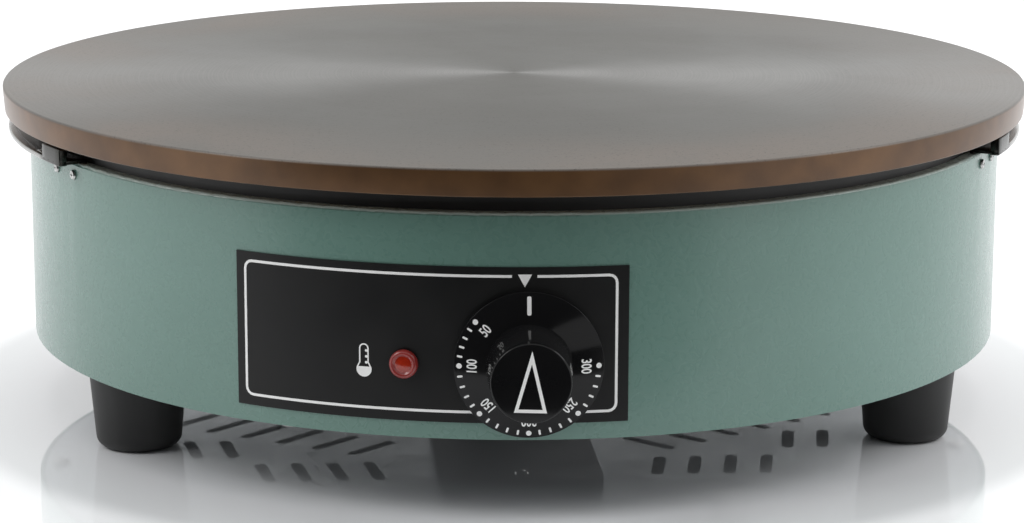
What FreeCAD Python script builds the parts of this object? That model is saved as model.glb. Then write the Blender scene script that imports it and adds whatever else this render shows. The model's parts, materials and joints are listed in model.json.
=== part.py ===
import FreeCAD, Part
import math
import os
import re

import Sketcher
from FreeCAD import Placement, Rotation, Vector

# Electric crepe maker: a round cast griddle over an enamelled steel drum on three feet, with
# a thermostat knob and a pilot lamp on a thin label at the front and a grip at each side.
# Millimetres, +Z up. The origin is on the drum's axis, on the surface that the feet stand on.
# The front is -Y. An azimuth is in degrees from the front, positive towards +X.

# Driving sizes, grouped by the piece that they belong to.
SIZES = {
    # griddle plate, with a thicker core that reaches down inside the drum
    "plate_diameter": 400,
    "plate_rim": 9.8,
    "rim_taper": 0.7,
    "rim_round": 0.8,
    "core_inset": 28,
    "core_drop": 4.2,
    "plate_gap": 7.4,
    # drum: rolled sheet with a flange turned in at each end
    "plate_overhang": 10,
    "drum_height": 79.5,
    "drum_wall": 1.5,
    "top_flange": 8.5,
    "bottom_flange": 12.5,
    "drum_round": 1.1,
    # base plate and its vent slots
    "base_sheet": 1.2,
    "base_clearance": 0.3,
    "slot_width": 5,
    "slot_length": 26,
    "slot_tilt": 45,
    "slot_lean": 10,
    "slots_in_row": 6,
    "row_start": 57,
    "row_pitch": 14.5,
    "back_row_offset": 12,
    "back_row_climb": 9.3,
    "front_row_offset": 21,
    "front_row_shift": 35,
    "shifted_slots": 2,
    # feet
    "foot_height": 30,
    "foot_top_diameter": 36.6,
    "foot_bottom_diameter": 31.4,
    "foot_round": 4.5,
    "foot_inset": 22.5,
    "foot_azimuth": 58.5,
    "foot_well_diameter": 14,
    "foot_well_depth": 18,
    # label and controls
    "label_thickness": 0.4,
    "label_glue": 0.05,
    "label_start": -34.9,
    "label_end": 7.5,
    "label_bottom": 6,
    "label_height": 55,
    "label_window": 38,
    "knob_azimuth": -2.9,
    "knob_height": 27.2,
    "knob_gap": 1,
    "knob_depth": 26.5,
    "skirt_diameter": 51.4,
    "skirt_edge": 1.6,
    "skirt_rise": 4.2,
    "boss_diameter": 30,
    "boss_front_diameter": 27.6,
    "boss_round": 0.8,
    "knob_wall": 3.5,
    "knob_recess": 1.4,
    "recess_diameter": 40,
    "hub_diameter": 10,
    "spindle_diameter": 6,
    "spindle_fit": 0.05,
    "spindle_grip": 15,
    "spindle_inside": 12,
    "lamp_azimuth": -15.84,
    "lamp_height": 26.2,
    "lamp_flange_diameter": 10,
    "lamp_flange": 1,
    "lamp_dome_diameter": 6.8,
    "lamp_dome": 2,
    "lamp_round": 1.5,
    "lamp_body_diameter": 8.6,
    "lamp_body_length": 20,
    "lamp_nut_diameter": 14,
    "lamp_nut": 2.5,
    # thermostat
    "thermostat_width": 40,
    "thermostat_tall": 40,
    "thermostat_depth": 28,
    "thermostat_standoff": 4.5,
    "thermostat_neck_diameter": 9.6,
    "thermostat_screw_spacing": 28,
    "thermostat_boss_diameter": 8,
    "boss_gap": 1.2,
    # heating elements under the plate, and the bars that press them up
    "element_diameter": 8.5,
    "outer_ring": 140,
    "inner_ring": 80,
    "leg_azimuth": 45,
    "leg_spacing": 26,
    "leg_bend": 12,
    "leg_reach": 5,
    "pin_diameter": 4,
    "pin_reach": 14,
    "link_width": 10,
    "link_sheet": 1,
    "bar_width": 14,
    "bar_sheet": 3,
    "bar_overhang": 10,
    "bar_ring": 110,
    # pan, insulation and the black ring in the gap
    "pan_inset": 11.5,
    "pan_sheet": 1,
    "pan_depth": 29.5,
    "pan_lip": 6.7,
    "insulation_thickness": 14,
    "ring_inset": 4.6,
    "ring_sheet": 1.4,
    "ring_gap": 1,
    "bush_diameter": 13,
    "bush_flange_diameter": 17,
    "bush_flange": 2,
    # pillars that carry the plate
    "pillar_ring": 110,
    "pillar_azimuth": 45,
    "pillar_diameter": 16,
    "pillar_bolt_diameter": 8,
    "thread_grip": 8,
    # temperature sensor
    "bulb_diameter": 6,
    "bulb_length": 70,
    "bulb_ring": 110,
    "bulb_azimuth": -90,
    "capillary_diameter": 1.8,
    "capillary_lead": 12.6,
    "capillary_bend": 7.2,
    "capillary_hole": 5.4,
    "clip_width": 10,
    "clip_sheet": 1,
    "clip_reach": 12,
    "clip_screw_offset": 8.5,
    # grips
    "grip_reach": 8,
    "grip_depth": 3.4,
    "grip_bar": 1.8,
    "grip_drop": 0.2,
    "grip_web": 0.8,
    "grip_half_angle": 29,
    "grip_end_angle": 4.6,
    "grip_end_height": 6,
    "grip_end_depth": 3.4,
    "grip_leg_angle": 7.8,
    "grip_leg_sheet": 1.6,
    "grip_leg_length": 11,
    "grip_seat": 0.2,
    "grip_screw_diameter": 2,
    "grip_screw_drop": 4.6,
    "grip_screw_first": 1.4,
    "grip_screw_pitch": 4.8,
    # supply entry at the rear
    "gland_azimuth": 165,
    "gland_height": 18,
    "gland_thread_diameter": 15.8,
    "gland_flats": 24,
    "gland_flange": 5,
    "gland_dome_diameter": 19,
    "gland_dome": 11,
    "gland_bore_diameter": 8.4,
    "gland_nut": 4,
    "gland_inside": 12,
    "block_inset": 38.5,
    "block_length": 44,
    "block_depth": 18,
    "block_tall": 16,
    "pole_pitch": 8,
    "earth_azimuth": 200,
    "earth_inset": 48.5,
    "wire_diameter": 2.6,
    "wire_lead": 23.4,
    "wire_bend": 40,
    "wire_dip": 15.6,
    "heater_shift": 35,
    "return_azimuth": 70,
    "lamp_supply_lead": 31.2,
    "lamp_return_lead": 52,
    # cover under the base plate
    "cover_width": 64,
    "cover_length": 110,
    "cover_depth": 4,
    "cover_shift": 3,
    "cover_round": 5,
    # fastener sizes
    "small_screw_diameter": 3,
    "screw_diameter": 4,
    "large_screw_diameter": 5,
    "stud_diameter": 6,
    "head_factor": 1.86,
    "head_height_factor": 0.55,
    "nut_height_factor": 0.8,
    "nut_flats_factor": 1.65,
    "washer_thickness": 1,
    "washer_diameter": 12,
    "fit": 0.05,
    "hole_clearance": 0.3,
    "seat": 0.1,
}

# Sizes that follow from the driving ones. Each is an expression over the names above.
DERIVED = {
    "plate_radius": "plate_diameter / 2",
    "core_radius": "plate_radius - core_inset",
    "drum_radius": "plate_radius - plate_overhang",
    "drum_inner": "drum_radius - drum_wall",
    "drum_bottom": "foot_height",
    "drum_top": "foot_height + drum_height",
    "plate_under": "drum_top + plate_gap",
    "plate_top": "plate_under + plate_rim",
    "core_under": "plate_under - core_drop",
    "base_top": "drum_bottom + base_sheet",
    "flange_top": "base_top + drum_wall",
    "foot_ring": "drum_radius - foot_inset",
    "base_screw_ring": "drum_inner - bottom_flange / 2",
    "knob_z": "drum_bottom + knob_height",
    "knob_back": "drum_radius + knob_gap",
    "knob_front": "knob_back + knob_depth",
    "lamp_z": "drum_bottom + lamp_height",
    "gland_z": "drum_bottom + gland_height",
    "label_inner": "drum_radius + label_glue",
    "label_outer": "label_inner + label_thickness",
    "element_z": "core_under - seat - element_diameter / 2",
    "bar_top": "core_under - 2 * seat - element_diameter",
    "bar_under": "bar_top - bar_sheet",
    "stud_nut": "stud_diameter * nut_height_factor",
    "pan_under": "drum_top - pan_depth",
    "pan_floor": "pan_under + pan_sheet",
    "pan_radius": "drum_inner - pan_inset",
    "thermostat_front": "drum_inner - thermostat_standoff",
    "thermostat_rear": "thermostat_front - thermostat_depth",
    "outer_gap": "(leg_spacing / 2 + leg_bend) / outer_ring * 180 / pi",
    "inner_gap": "(leg_spacing / 2 + leg_bend) / inner_ring * 180 / pi",
    "leg_bottom": "pan_under - leg_reach",
    "pin_bottom": "leg_bottom - pin_reach",
    "link_top": "leg_bottom - seat",
    "bulb_z": "core_under - seat - bulb_diameter / 2",
    "clip_under": "core_under - 2 * seat - bulb_diameter - clip_sheet",
    "grip_outer": "drum_radius + grip_reach",
    "grip_leg_outer": "drum_inner - seat",
    "grip_leg_inner": "grip_leg_outer - grip_leg_sheet",
    "grip_screw_z": "drum_top - grip_screw_drop",
    "block_ring": "drum_inner - block_inset",
    "block_inner": "block_ring - block_depth / 2",
    "earth_ring": "drum_inner - earth_inset",
}

# Tolerance of the tests, and the share of a straight run that one bend may take.
CLOSE = 0.01
BEND_SHARE = 0.45

# Poles of the terminal block.
POLES = 4

# Sizes of a fastener's head and nut from its diameter.
HEAD = "{0} * head_factor / 2"
HEAD_HEIGHT = "{0} * head_height_factor"
NUT_HEIGHT = "{0} * nut_height_factor"
NUT_CORNER = "{0} * nut_flats_factor / sqrt(3)"

doc = FreeCAD.newDocument("crepe_maker")
sheet = doc.addObject("Spreadsheet::Sheet", "Sizes")
for row, (alias, size) in enumerate(SIZES.items(), start=1):
    sheet.set(f"A{row}", alias)
    sheet.set(f"B{row}", str(size))
    sheet.setAlias(f"B{row}", alias)
doc.recompute()

nodes = []


def expression(text):
    """The text with every derived size written out and every driving size read from the sheet."""
    def swap(match):
        word = match.group(0)
        if word in DERIVED:
            return f"({expression(DERIVED[word])})"
        return f"Sizes.{word}" if word in SIZES else word
    return re.sub(r"[a-z_]{2,}", swap, str(text))


def value(text):
    """The number that an expression gives now."""
    result = sheet.evalExpression(expression(text))
    return float(getattr(result, "Value", result))


def bind(item, path, text):
    """Ties one property of an object to an expression over the sheet."""
    item.setExpression(path, expression(text))


def new_body(name):
    """A sub-part: a body whose label is its node's name."""
    body = doc.addObject("PartDesign::Body", name)
    body.Label = name
    body.AllowCompound = True
    nodes.append(body)
    return body


def new_feature(name, shape):
    """A sub-part whose shape is swept or drawn directly, because no sketch gives it."""
    feature = doc.addObject("Part::Feature", name)
    feature.Label = name
    feature.Shape = shape
    nodes.append(feature)
    return feature


def new_sketch(body, name, role, turn, shift):
    """A sketch on one of the body's own planes, turned about Z and shifted by expressions."""
    plane = next(item for item in body.Origin.OriginFeatures if item.Role == role)
    sketch = body.newObject("Sketcher::SketchObject", f"{body.Name}_{name}")
    sketch.AttachmentSupport = [(plane, "")]
    sketch.MapMode = "FlatFace"
    axis = Vector(0, 0, 1) if role == "XY_Plane" else Vector(0, 1, 0)
    sketch.AttachmentOffset = Placement(Vector(), Rotation(axis, 1))
    bind(sketch, "AttachmentOffset.Rotation.Angle", turn)
    for letter, text in zip("xyz", shift):
        bind(sketch, f"AttachmentOffset.Base.{letter}", text)
    return sketch


def flat_sketch(body, name, height="0"):
    """A level sketch at a height."""
    return new_sketch(body, name, "XY_Plane", "0", ("0", "0", height))


def section_sketch(body, name, azimuth="90", height="0"):
    """An upright sketch through the drum's axis: x is the distance from it, y is upwards."""
    return new_sketch(body, name, "XZ_Plane", f"{azimuth} - 90", ("0", height, "0"))


def face_sketch(body, name, azimuth, distance, height="0"):
    """An upright sketch that faces outwards at a distance from the drum's axis."""
    shift = (f"({distance}) * sin({azimuth})", height, f"({distance}) * cos({azimuth})")
    return new_sketch(body, name, "XZ_Plane", azimuth, shift)


def hold(sketch, kind, *where):
    """Adds one dimension whose size is an expression."""
    *places, text = where
    index = sketch.addConstraint(Sketcher.Constraint(kind, *places, value(text)))
    bind(sketch, f"Constraints[{index}]", text)


def polygon(sketch, corners):
    """A closed outline of straight lines, with each corner held from the sketch's origin."""
    first = sketch.GeometryCount
    spots = [Vector(value(x), value(y), 0) for x, y in corners]
    for start, end in zip(spots, spots[1:] + spots[:1]):
        sketch.addGeometry(Part.LineSegment(start, end), False)
    for index, (x, y) in enumerate(corners):
        after = first + (index - 1) % len(corners)
        sketch.addConstraint(Sketcher.Constraint("Coincident", after, 2, first + index, 1))
        hold(sketch, "DistanceX", -1, 1, first + index, 1, x)
        hold(sketch, "DistanceY", -1, 1, first + index, 1, y)
    return sketch


def box_outline(sketch, low_x, low_y, high_x, high_y):
    """A rectangle between two corners."""
    return polygon(sketch, [(low_x, low_y), (high_x, low_y), (high_x, high_y), (low_x, high_y)])


def circles(sketch, spots, radius):
    """Circles of one radius round a list of centres."""
    for x, y in spots:
        centre = Vector(value(x), value(y), 0)
        shape = Part.Circle(centre, Vector(0, 0, 1), value(radius))
        index = sketch.addGeometry(shape, False)
        hold(sketch, "DistanceX", -1, 1, index, 3, x)
        hold(sketch, "DistanceY", -1, 1, index, 3, y)
        hold(sketch, "Radius", index, radius)
    return sketch


def hexagons(sketch, spots, corner, bore):
    """Hexagons round a list of centres, each with a bore."""
    for x, y in spots:
        corners = []
        for turn in range(0, 360, 60):
            corners.append((f"{x} + {corner} * cos({turn})", f"{y} + {corner} * sin({turn})"))
        polygon(sketch, corners)
    return circles(sketch, spots, bore)


def pad(body, name, sketch, length, reverse=False, midplane=False):
    """Pushes a sketch out by a length along its normal, backwards, or both ways."""
    feature = body.newObject("PartDesign::Pad", f"{body.Name}_{name}")
    feature.Profile = sketch
    feature.Reversed = reverse
    feature.SideType = "Symmetric" if midplane else "One side"
    bind(feature, "Length", length)


def pocket(body, name, sketch, length, reverse=False):
    """Cuts a sketch into the body by a length, against its normal unless reversed."""
    feature = body.newObject("PartDesign::Pocket", f"{body.Name}_{name}")
    feature.Profile = sketch
    feature.Reversed = reverse
    bind(feature, "Length", length)


def revolve(body, name, sketch, axis="V_Axis", angle="360", kind="Revolution"):
    """Turns a sketch about one of its axes, evenly to both sides, to add or to cut."""
    feature = body.newObject(f"PartDesign::{kind}", f"{body.Name}_{name}")
    feature.Profile = sketch
    feature.ReferenceAxis = (sketch, [axis])
    feature.Midplane = True
    bind(feature, "Angle", angle)


def upright_edge(edge):
    """A test for the edges that run along Z."""
    return abs(edge.tangentAt(edge.FirstParameter).z) > 1 - CLOSE


def soften(body, name, radius, wanted):
    """Rounds the body's edges for which wanted(edge) is true."""
    doc.recompute()
    base = body.Tip
    edges = [f"Edge{index}" for index, edge in enumerate(base.Shape.Edges, start=1) if wanted(edge)]
    feature = body.newObject("PartDesign::Fillet", f"{body.Name}_{name}")
    feature.Base = (base, edges)
    bind(feature, "Radius", radius)


def round_edge(radius, azimuth, ring, height):
    """A test for the round edges of one radius about a spot."""
    centre = spot(azimuth, ring, height)

    def wanted(edge):
        if edge.Curve.TypeId != "Part::GeomCircle":
            return False
        near = edge.Curve.Center.distanceToPoint(centre) < CLOSE
        return near and abs(edge.Curve.Radius - value(radius)) < CLOSE
    return wanted


def polar(azimuth, ring, lateral="0"):
    """The x and y of a spot at a distance from the axis, shifted sideways along +azimuth."""
    x = f"({ring}) * sin({azimuth}) + ({lateral}) * cos({azimuth})"
    y = f"({lateral}) * sin({azimuth}) - ({ring}) * cos({azimuth})"
    return x, y


def around(count, first, ring):
    """Evenly spaced spots round the axis."""
    return [polar(f"({first} + {index} * 360 / {count})", ring) for index in range(count)]


def spot(azimuth, ring, height, lateral="0"):
    """The same spot as a point in space, in numbers."""
    x, y = polar(azimuth, ring, lateral)
    return Vector(value(x), value(y), value(height))


def leg_spots():
    """The four upright legs of the two heating elements, outer ring first."""
    spots = []
    for ring, gap in (("outer_ring", "outer_gap"), ("inner_ring", "inner_gap")):
        spots.append(polar(f"(leg_azimuth + {gap})", ring, "0 - leg_bend"))
        spots.append(polar(f"(leg_azimuth - {gap})", ring, "leg_bend"))
    return spots


def capillary_drop():
    """Where the capillary goes down through the insulation and the pan."""
    return polar("bulb_azimuth", "bulb_ring", "bulb_length / 2 + capillary_lead")


PILLARS = around(4, "pillar_azimuth", "pillar_ring")
CLAMPS = around(3, "0", "bar_ring")
BASE_SCREWS = around(6, "30", "base_screw_ring")
FEET = around(3, "foot_azimuth", "foot_ring")
BLOCK_SCREWS = [polar("gland_azimuth", "block_ring", f"{side} * (block_length / 2 - screw_diameter)")
                for side in (-1, 1)]
COVER_SCREWS = [("0", f"cover_shift + {side} * (cover_length / 2 - 2 * screw_diameter)")
                for side in (-1, 1)]
EARTH = [polar("earth_azimuth", "earth_ring")]
GRIPS = {"grip_left": "0 - 90", "grip_right": "90"}


def griddle_plate():
    """Cast plate: a tapered rim, a core that reaches into the drum and blind bores from below."""
    body = new_body("griddle_plate")
    profile = section_sketch(body, "section")
    polygon(profile, [
        ("0", "core_under"),
        ("core_radius", "core_under"),
        ("core_radius", "plate_under"),
        ("plate_radius - rim_taper", "plate_under"),
        ("plate_radius", "plate_top"),
        ("0", "plate_top"),
    ])
    revolve(body, "casting", profile)
    soften(body, "rim_edge", "rim_round", round_edge("plate_radius", "0", "0", "plate_top"))
    bores = (
        ("stud", CLAMPS, "stud_diameter"),
        ("bolt", PILLARS, "pillar_bolt_diameter"),
        ("clip", clip_screw_spots(), "screw_diameter"),
    )
    for name, spots, diameter in bores:
        sketch = circles(flat_sketch(body, f"{name}_spots", "core_under"), spots, f"{diameter} / 2 + fit")
        pocket(body, f"{name}_bores", sketch, "thread_grip + seat", reverse=True)


def clip_screw_spots():
    """The two screws of the bulb's clip, one on each side of the bulb."""
    return [polar("bulb_azimuth", f"(bulb_ring + {side} * clip_screw_offset)") for side in (-1, 1)]


def drum():
    """Rolled sheet drum with flanges turned in at the top and the bottom, and all its holes."""
    body = new_body("drum")
    profile = section_sketch(body, "section")
    polygon(profile, [
        ("drum_radius", "drum_bottom"),
        ("drum_radius", "drum_top"),
        ("drum_inner - top_flange", "drum_top"),
        ("drum_inner - top_flange", "drum_top - drum_wall"),
        ("drum_inner", "drum_top - drum_wall"),
        ("drum_inner", "flange_top"),
        ("drum_inner - bottom_flange", "flange_top"),
        ("drum_inner - bottom_flange", "base_top"),
        ("drum_inner", "base_top"),
        ("drum_inner", "drum_bottom"),
    ])
    revolve(body, "shell", profile)
    soften(body, "top_edge", "drum_round", round_edge("drum_radius", "0", "0", "drum_top"))
    centre = [("0", "0")]
    holes = [
        ("neck", "knob_azimuth", "knob_z", centre, "thermostat_neck_diameter / 2 + hole_clearance"),
        ("screw", "knob_azimuth", "knob_z", thermostat_screw_spots(),
         "screw_diameter / 2 + hole_clearance"),
        ("lamp", "lamp_azimuth", "lamp_z", centre, "lamp_body_diameter / 2 + fit"),
        ("gland", "gland_azimuth", "gland_z", centre, "gland_thread_diameter / 2 + fit"),
    ]
    for index, azimuth in enumerate(grip_screw_azimuths()):
        holes.append((f"grip_{index}", azimuth, "grip_screw_z", centre, "grip_screw_diameter / 2 + fit"))
    for name, azimuth, height, spots, radius in holes:
        wall_hole(body, name, azimuth, height, spots, radius)
    base = circles(flat_sketch(body, "base_spots", "base_top"), BASE_SCREWS, "screw_diameter / 2 + fit")
    pocket(body, "base_holes", base, "drum_wall", reverse=True)
    for index, azimuth in enumerate(grip_leg_azimuths()):
        slot = section_sketch(body, f"leg_slot_{index}", azimuth)
        box_outline(slot, "grip_leg_inner - hole_clearance", "drum_top - 2 * drum_wall",
                    "drum_inner", "drum_top + drum_wall")
        revolve(body, f"leg_cut_{index}", slot, angle="grip_leg_angle + hole_clearance", kind="Groove")


def wall_hole(body, name, azimuth, height, spots, radius):
    """Round holes straight through the drum's wall and what lies against it, from outside."""
    sketch = face_sketch(body, f"{name}_spot", azimuth, "drum_radius + 2 * drum_wall", height)
    circles(sketch, spots, radius)
    pocket(body, f"{name}_hole", sketch, "6 * drum_wall")


def thermostat_screw_spots():
    """The thermostat's two screws, seen from the front and measured from the knob's axis."""
    return [(f"{side} * thermostat_screw_spacing / 2", "0") for side in (-1, 1)]


def grip_leg_azimuths():
    """The middles of the four legs that hold the two grips."""
    return [f"({side} * 90 + {end} * (grip_half_angle - grip_leg_angle / 2))"
            for side in (-1, 1) for end in (-1, 1)]


def grip_screw_azimuths():
    """The eight grip screws, two at each end of each grip."""
    offsets = ("grip_screw_first", "grip_screw_first + grip_screw_pitch")
    return [f"({side} * 90 + {end} * (grip_half_angle - ({offset})))"
            for side in (-1, 1) for end in (-1, 1) for offset in offsets]


def slot_cutter(x, y, tilt):
    """A tall bar with round ends, where a vent slot goes through the base plate."""
    half = value("slot_width / 2")
    reach = value("slot_length / 2") - half
    low = Vector(-reach, 0, 0)
    high = Vector(reach, 0, 0)
    side = Vector(0, half, 0)
    edges = [
        Part.makeLine(low + side, high + side),
        Part.Arc(high + side, high + Vector(half, 0, 0), high - side).toShape(),
        Part.makeLine(high - side, low - side),
        Part.Arc(low - side, low - Vector(half, 0, 0), low + side).toShape(),
    ]
    bar = Part.Face(Part.Wire(edges)).extrude(Vector(0, 0, value("3 * base_sheet")))
    foot = Vector(x, y, value("drum_bottom - base_sheet"))
    bar.Placement = Placement(foot, Rotation(Vector(0, 0, 1), tilt))
    return bar


def vent_slots():
    """Two rows of slots on each side, mirrored: a slanting row behind and an upright one in front."""
    cutters = []
    count = int(value("slots_in_row"))
    for side in (-1, 1):
        for index in range(count):
            x = value("row_start") + index * value("row_pitch")
            back = value("back_row_offset") + index * value("back_row_climb")
            cutters.append(slot_cutter(side * x, back, -side * value("slot_tilt")))
            outer = index >= count - value("shifted_slots")
            shift = value("front_row_shift") if outer else 0
            front = shift - value("front_row_offset")
            cutters.append(slot_cutter(side * x, front, 90 - side * value("slot_lean")))
    return cutters


def base_plate():
    """Sheet disc that closes the drum from below, with its screw holes and vent slots."""
    disc = Part.makeCylinder(value("drum_inner - base_clearance"), value("base_sheet"),
                             Vector(0, 0, value("drum_bottom")))
    holes = [
        (BASE_SCREWS, "screw_diameter / 2 + fit"),
        (FEET, "large_screw_diameter / 2 + fit"),
        (PILLARS, "pillar_bolt_diameter / 2 + fit"),
        (BLOCK_SCREWS, "small_screw_diameter / 2 + fit"),
        (COVER_SCREWS, "small_screw_diameter / 2 + fit"),
        (EARTH, "large_screw_diameter / 2 + fit"),
    ]
    cutters = vent_slots()
    for spots, radius in holes:
        for x, y in spots:
            foot = Vector(value(x), value(y), value("drum_bottom - base_sheet"))
            cutters.append(Part.makeCylinder(value(radius), value("3 * base_sheet"), foot))
    new_feature("base_plate", disc.cut(cutters))


def screws(name, spots, diameter, head_top, reach):
    """Round-headed screws that point up, with their heads under head_top."""
    body = new_body(name)
    head = circles(flat_sketch(body, "heads", head_top), spots, HEAD.format(diameter))
    pad(body, "head_pads", head, HEAD_HEIGHT.format(diameter), reverse=True)
    shank = circles(flat_sketch(body, "shanks", head_top), spots, f"{diameter} / 2")
    pad(body, "shank_pads", shank, reach)


def nuts(name, spots, diameter, under):
    """Hexagon nuts that stand on a height."""
    body = new_body(name)
    corner = NUT_CORNER.format(diameter)
    outline = hexagons(flat_sketch(body, "outline", under), spots, corner, f"{diameter} / 2 + fit")
    pad(body, "nut_pads", outline, NUT_HEIGHT.format(diameter))


def feet():
    """Three tapered feet, each with a well for its screw, a washer, the screw and a nut."""
    for name, (x, y) in zip(("foot_right", "foot_rear", "foot_left"), FEET):
        body = new_body(name)
        profile = section_sketch(body, "section")
        polygon(profile, [
            ("large_screw_diameter / 2 + hole_clearance", "foot_well_depth"),
            ("foot_well_diameter / 2", "foot_well_depth"),
            ("foot_well_diameter / 2", "0"),
            ("foot_bottom_diameter / 2", "0"),
            ("foot_top_diameter / 2", "foot_height"),
            ("large_screw_diameter / 2 + hole_clearance", "foot_height"),
        ])
        revolve(body, "moulding", profile)
        soften(body, "sole_edge", "foot_round", round_edge("foot_bottom_diameter / 2", "0", "0", "0"))
        bind(body, "Placement.Base.x", x)
        bind(body, "Placement.Base.y", y)
    washers = new_body("foot_washers")
    outline = flat_sketch(washers, "outline", "foot_well_depth")
    circles(outline, FEET, "washer_diameter / 2")
    circles(outline, FEET, "large_screw_diameter / 2 + fit")
    pad(washers, "discs", outline, "washer_thickness", reverse=True)
    head_top = "foot_well_depth - washer_thickness"
    nut_top = "base_top + large_screw_diameter * nut_height_factor"
    screws("foot_screws", FEET, "large_screw_diameter", head_top,
           f"{nut_top} + washer_thickness - ({head_top})")
    nuts("foot_nuts", FEET, "large_screw_diameter", "base_top")


def underside():
    """The screws that hold the base plate, and the cover in its middle with two screws."""
    screws("base_screws", BASE_SCREWS, "screw_diameter", "drum_bottom", "base_sheet + 2 * drum_wall")
    body = new_body("underside_cover")
    outline = flat_sketch(body, "outline", "drum_bottom - cover_depth")
    box_outline(outline, "0 - cover_width / 2", "cover_shift - cover_length / 2",
                "cover_width / 2", "cover_shift + cover_length / 2")
    pad(body, "block", outline, "cover_depth")
    soften(body, "corners", "cover_round", upright_edge)
    holes = circles(flat_sketch(body, "spots", "drum_bottom - cover_depth"), COVER_SCREWS,
                    "small_screw_diameter / 2 + fit")
    pocket(body, "holes", holes, "cover_depth", reverse=True)
    screws("cover_screws", COVER_SCREWS, "small_screw_diameter", "drum_bottom - cover_depth",
           "cover_depth + 3 * base_sheet")


def pillars():
    """Four tubes that carry the plate on the base plate, each with a bolt from below."""
    for index, (x, y) in enumerate(PILLARS, start=1):
        body = new_body(f"pillar_{index}")
        outline = flat_sketch(body, "outline", "base_top")
        circles(outline, [(x, y)], "pillar_diameter / 2")
        circles(outline, [(x, y)], "pillar_bolt_diameter / 2 + hole_clearance")
        pad(body, "tube", outline, "core_under - base_top")
    screws("pillar_bolts", PILLARS, "pillar_bolt_diameter", "drum_bottom",
           "core_under - drum_bottom + thread_grip")


def element_path(ring, gap):
    """A ring of tube under the plate whose two ends bend down into upright legs."""
    bend = value("leg_bend")
    height = value("element_z")
    start = value(f"leg_azimuth + {gap}")
    sweep = 360 - 2 * value(gap)
    rise = Vector(0, 0, bend)

    def on_ring(azimuth):
        angle = math.radians(azimuth)
        place = Vector(ring * math.sin(angle), -ring * math.cos(angle), height)
        return place, Vector(math.cos(angle), math.sin(angle), 0)

    first, along_first = on_ring(start)
    middle, _ = on_ring(start + sweep / 2)
    last, along_last = on_ring(start + sweep)
    low = value("leg_bottom")
    slant = bend * math.sqrt(0.5)
    leg_one = first - along_first * bend - rise
    leg_two = last + along_last * bend - rise
    return Part.Wire([
        Part.makeLine(Vector(leg_one.x, leg_one.y, low), leg_one),
        Part.Arc(leg_one, first - rise - along_first * slant + Vector(0, 0, slant), first).toShape(),
        Part.Arc(first, middle, last).toShape(),
        Part.Arc(last, last - rise + along_last * slant + Vector(0, 0, slant), leg_two).toShape(),
        Part.makeLine(leg_two, Vector(leg_two.x, leg_two.y, low)),
    ])


def tube(path, diameter):
    """Sweeps a round section along a path and compares the volume with section times length."""
    edge = path.OrderedEdges[0]
    start = edge.firstVertex().Point
    section = Part.makeCircle(diameter / 2, start, edge.tangentAt(edge.FirstParameter))
    solid = path.makePipeShell([Part.Wire(section)], True, False)
    wanted = math.pi * diameter ** 2 / 4 * path.Length
    if abs(solid.Volume - wanted) > CLOSE * wanted:
        raise ValueError(f"tube volume {solid.Volume:.1f}, not {wanted:.1f}")
    return solid


def elements():
    """Two sheathed heating elements, each with a thin pin below each of its legs."""
    legs = leg_spots()
    for name, ring, gap, spots in (("element_outer", "outer_ring", "outer_gap", legs[:2]),
                                   ("element_inner", "inner_ring", "inner_gap", legs[2:])):
        sheath = tube(element_path(value(ring), gap), value("element_diameter"))
        pins = [Part.makeCylinder(value("pin_diameter / 2"), value("pin_reach + 1"),
                                  Vector(value(x), value(y), value("pin_bottom"))) for x, y in spots]
        new_feature(name, sheath.fuse(pins).removeSplitter())


def element_links():
    """Two flat links that join the outer element's pins to the inner one's, each on nuts."""
    legs = leg_spots()
    for name, start, end in (("link_front", legs[1], legs[3]), ("link_back", legs[0], legs[2])):
        one = Vector(value(start[0]), value(start[1]), value("link_top - link_sheet"))
        two = Vector(value(end[0]), value(end[1]), one.z)
        along = (two - one).normalize()
        side = Vector(-along.y, along.x, 0) * value("link_width / 2")
        reach = along * value("link_width / 2")
        corners = [one - reach - side, two + reach - side, two + reach + side, one - reach + side]
        outline = Part.Face(Part.makePolygon(corners + corners[:1]))
        strip = outline.extrude(Vector(0, 0, value("link_sheet")))
        radius = value("pin_diameter / 2 + fit")
        holes = [Part.makeCylinder(radius, value("link_sheet"), place) for place in (one, two)]
        new_feature(name, strip.cut(holes))
    nuts("link_nuts", legs, "pin_diameter", "link_top - link_sheet - pin_diameter * nut_height_factor")


def clamps():
    """Three bars that press both elements up against the plate, on studs with nuts."""
    for index, azimuth in enumerate(("0", "120", "240"), start=1):
        body = new_body(f"clamp_bar_{index}")
        outline = face_sketch(body, "outline", azimuth, "inner_ring - bar_overhang")
        box_outline(outline, "0 - bar_width / 2", "bar_under", "bar_width / 2", "bar_top")
        pad(body, "bar", outline, "outer_ring - inner_ring + 2 * bar_overhang")
        hole = flat_sketch(body, "hole_spot", "bar_under")
        circles(hole, [polar(azimuth, "bar_ring")], "stud_diameter / 2 + hole_clearance")
        pocket(body, "hole", hole, "bar_sheet", reverse=True)
    nuts("clamp_nuts", CLAMPS, "stud_diameter", "bar_under - stud_nut")
    studs = new_body("clamp_studs")
    outline = circles(flat_sketch(studs, "outline", "bar_under - stud_nut"), CLAMPS, "stud_diameter / 2")
    pad(studs, "rods", outline, "core_under - bar_under + stud_nut + thread_grip")


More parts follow.
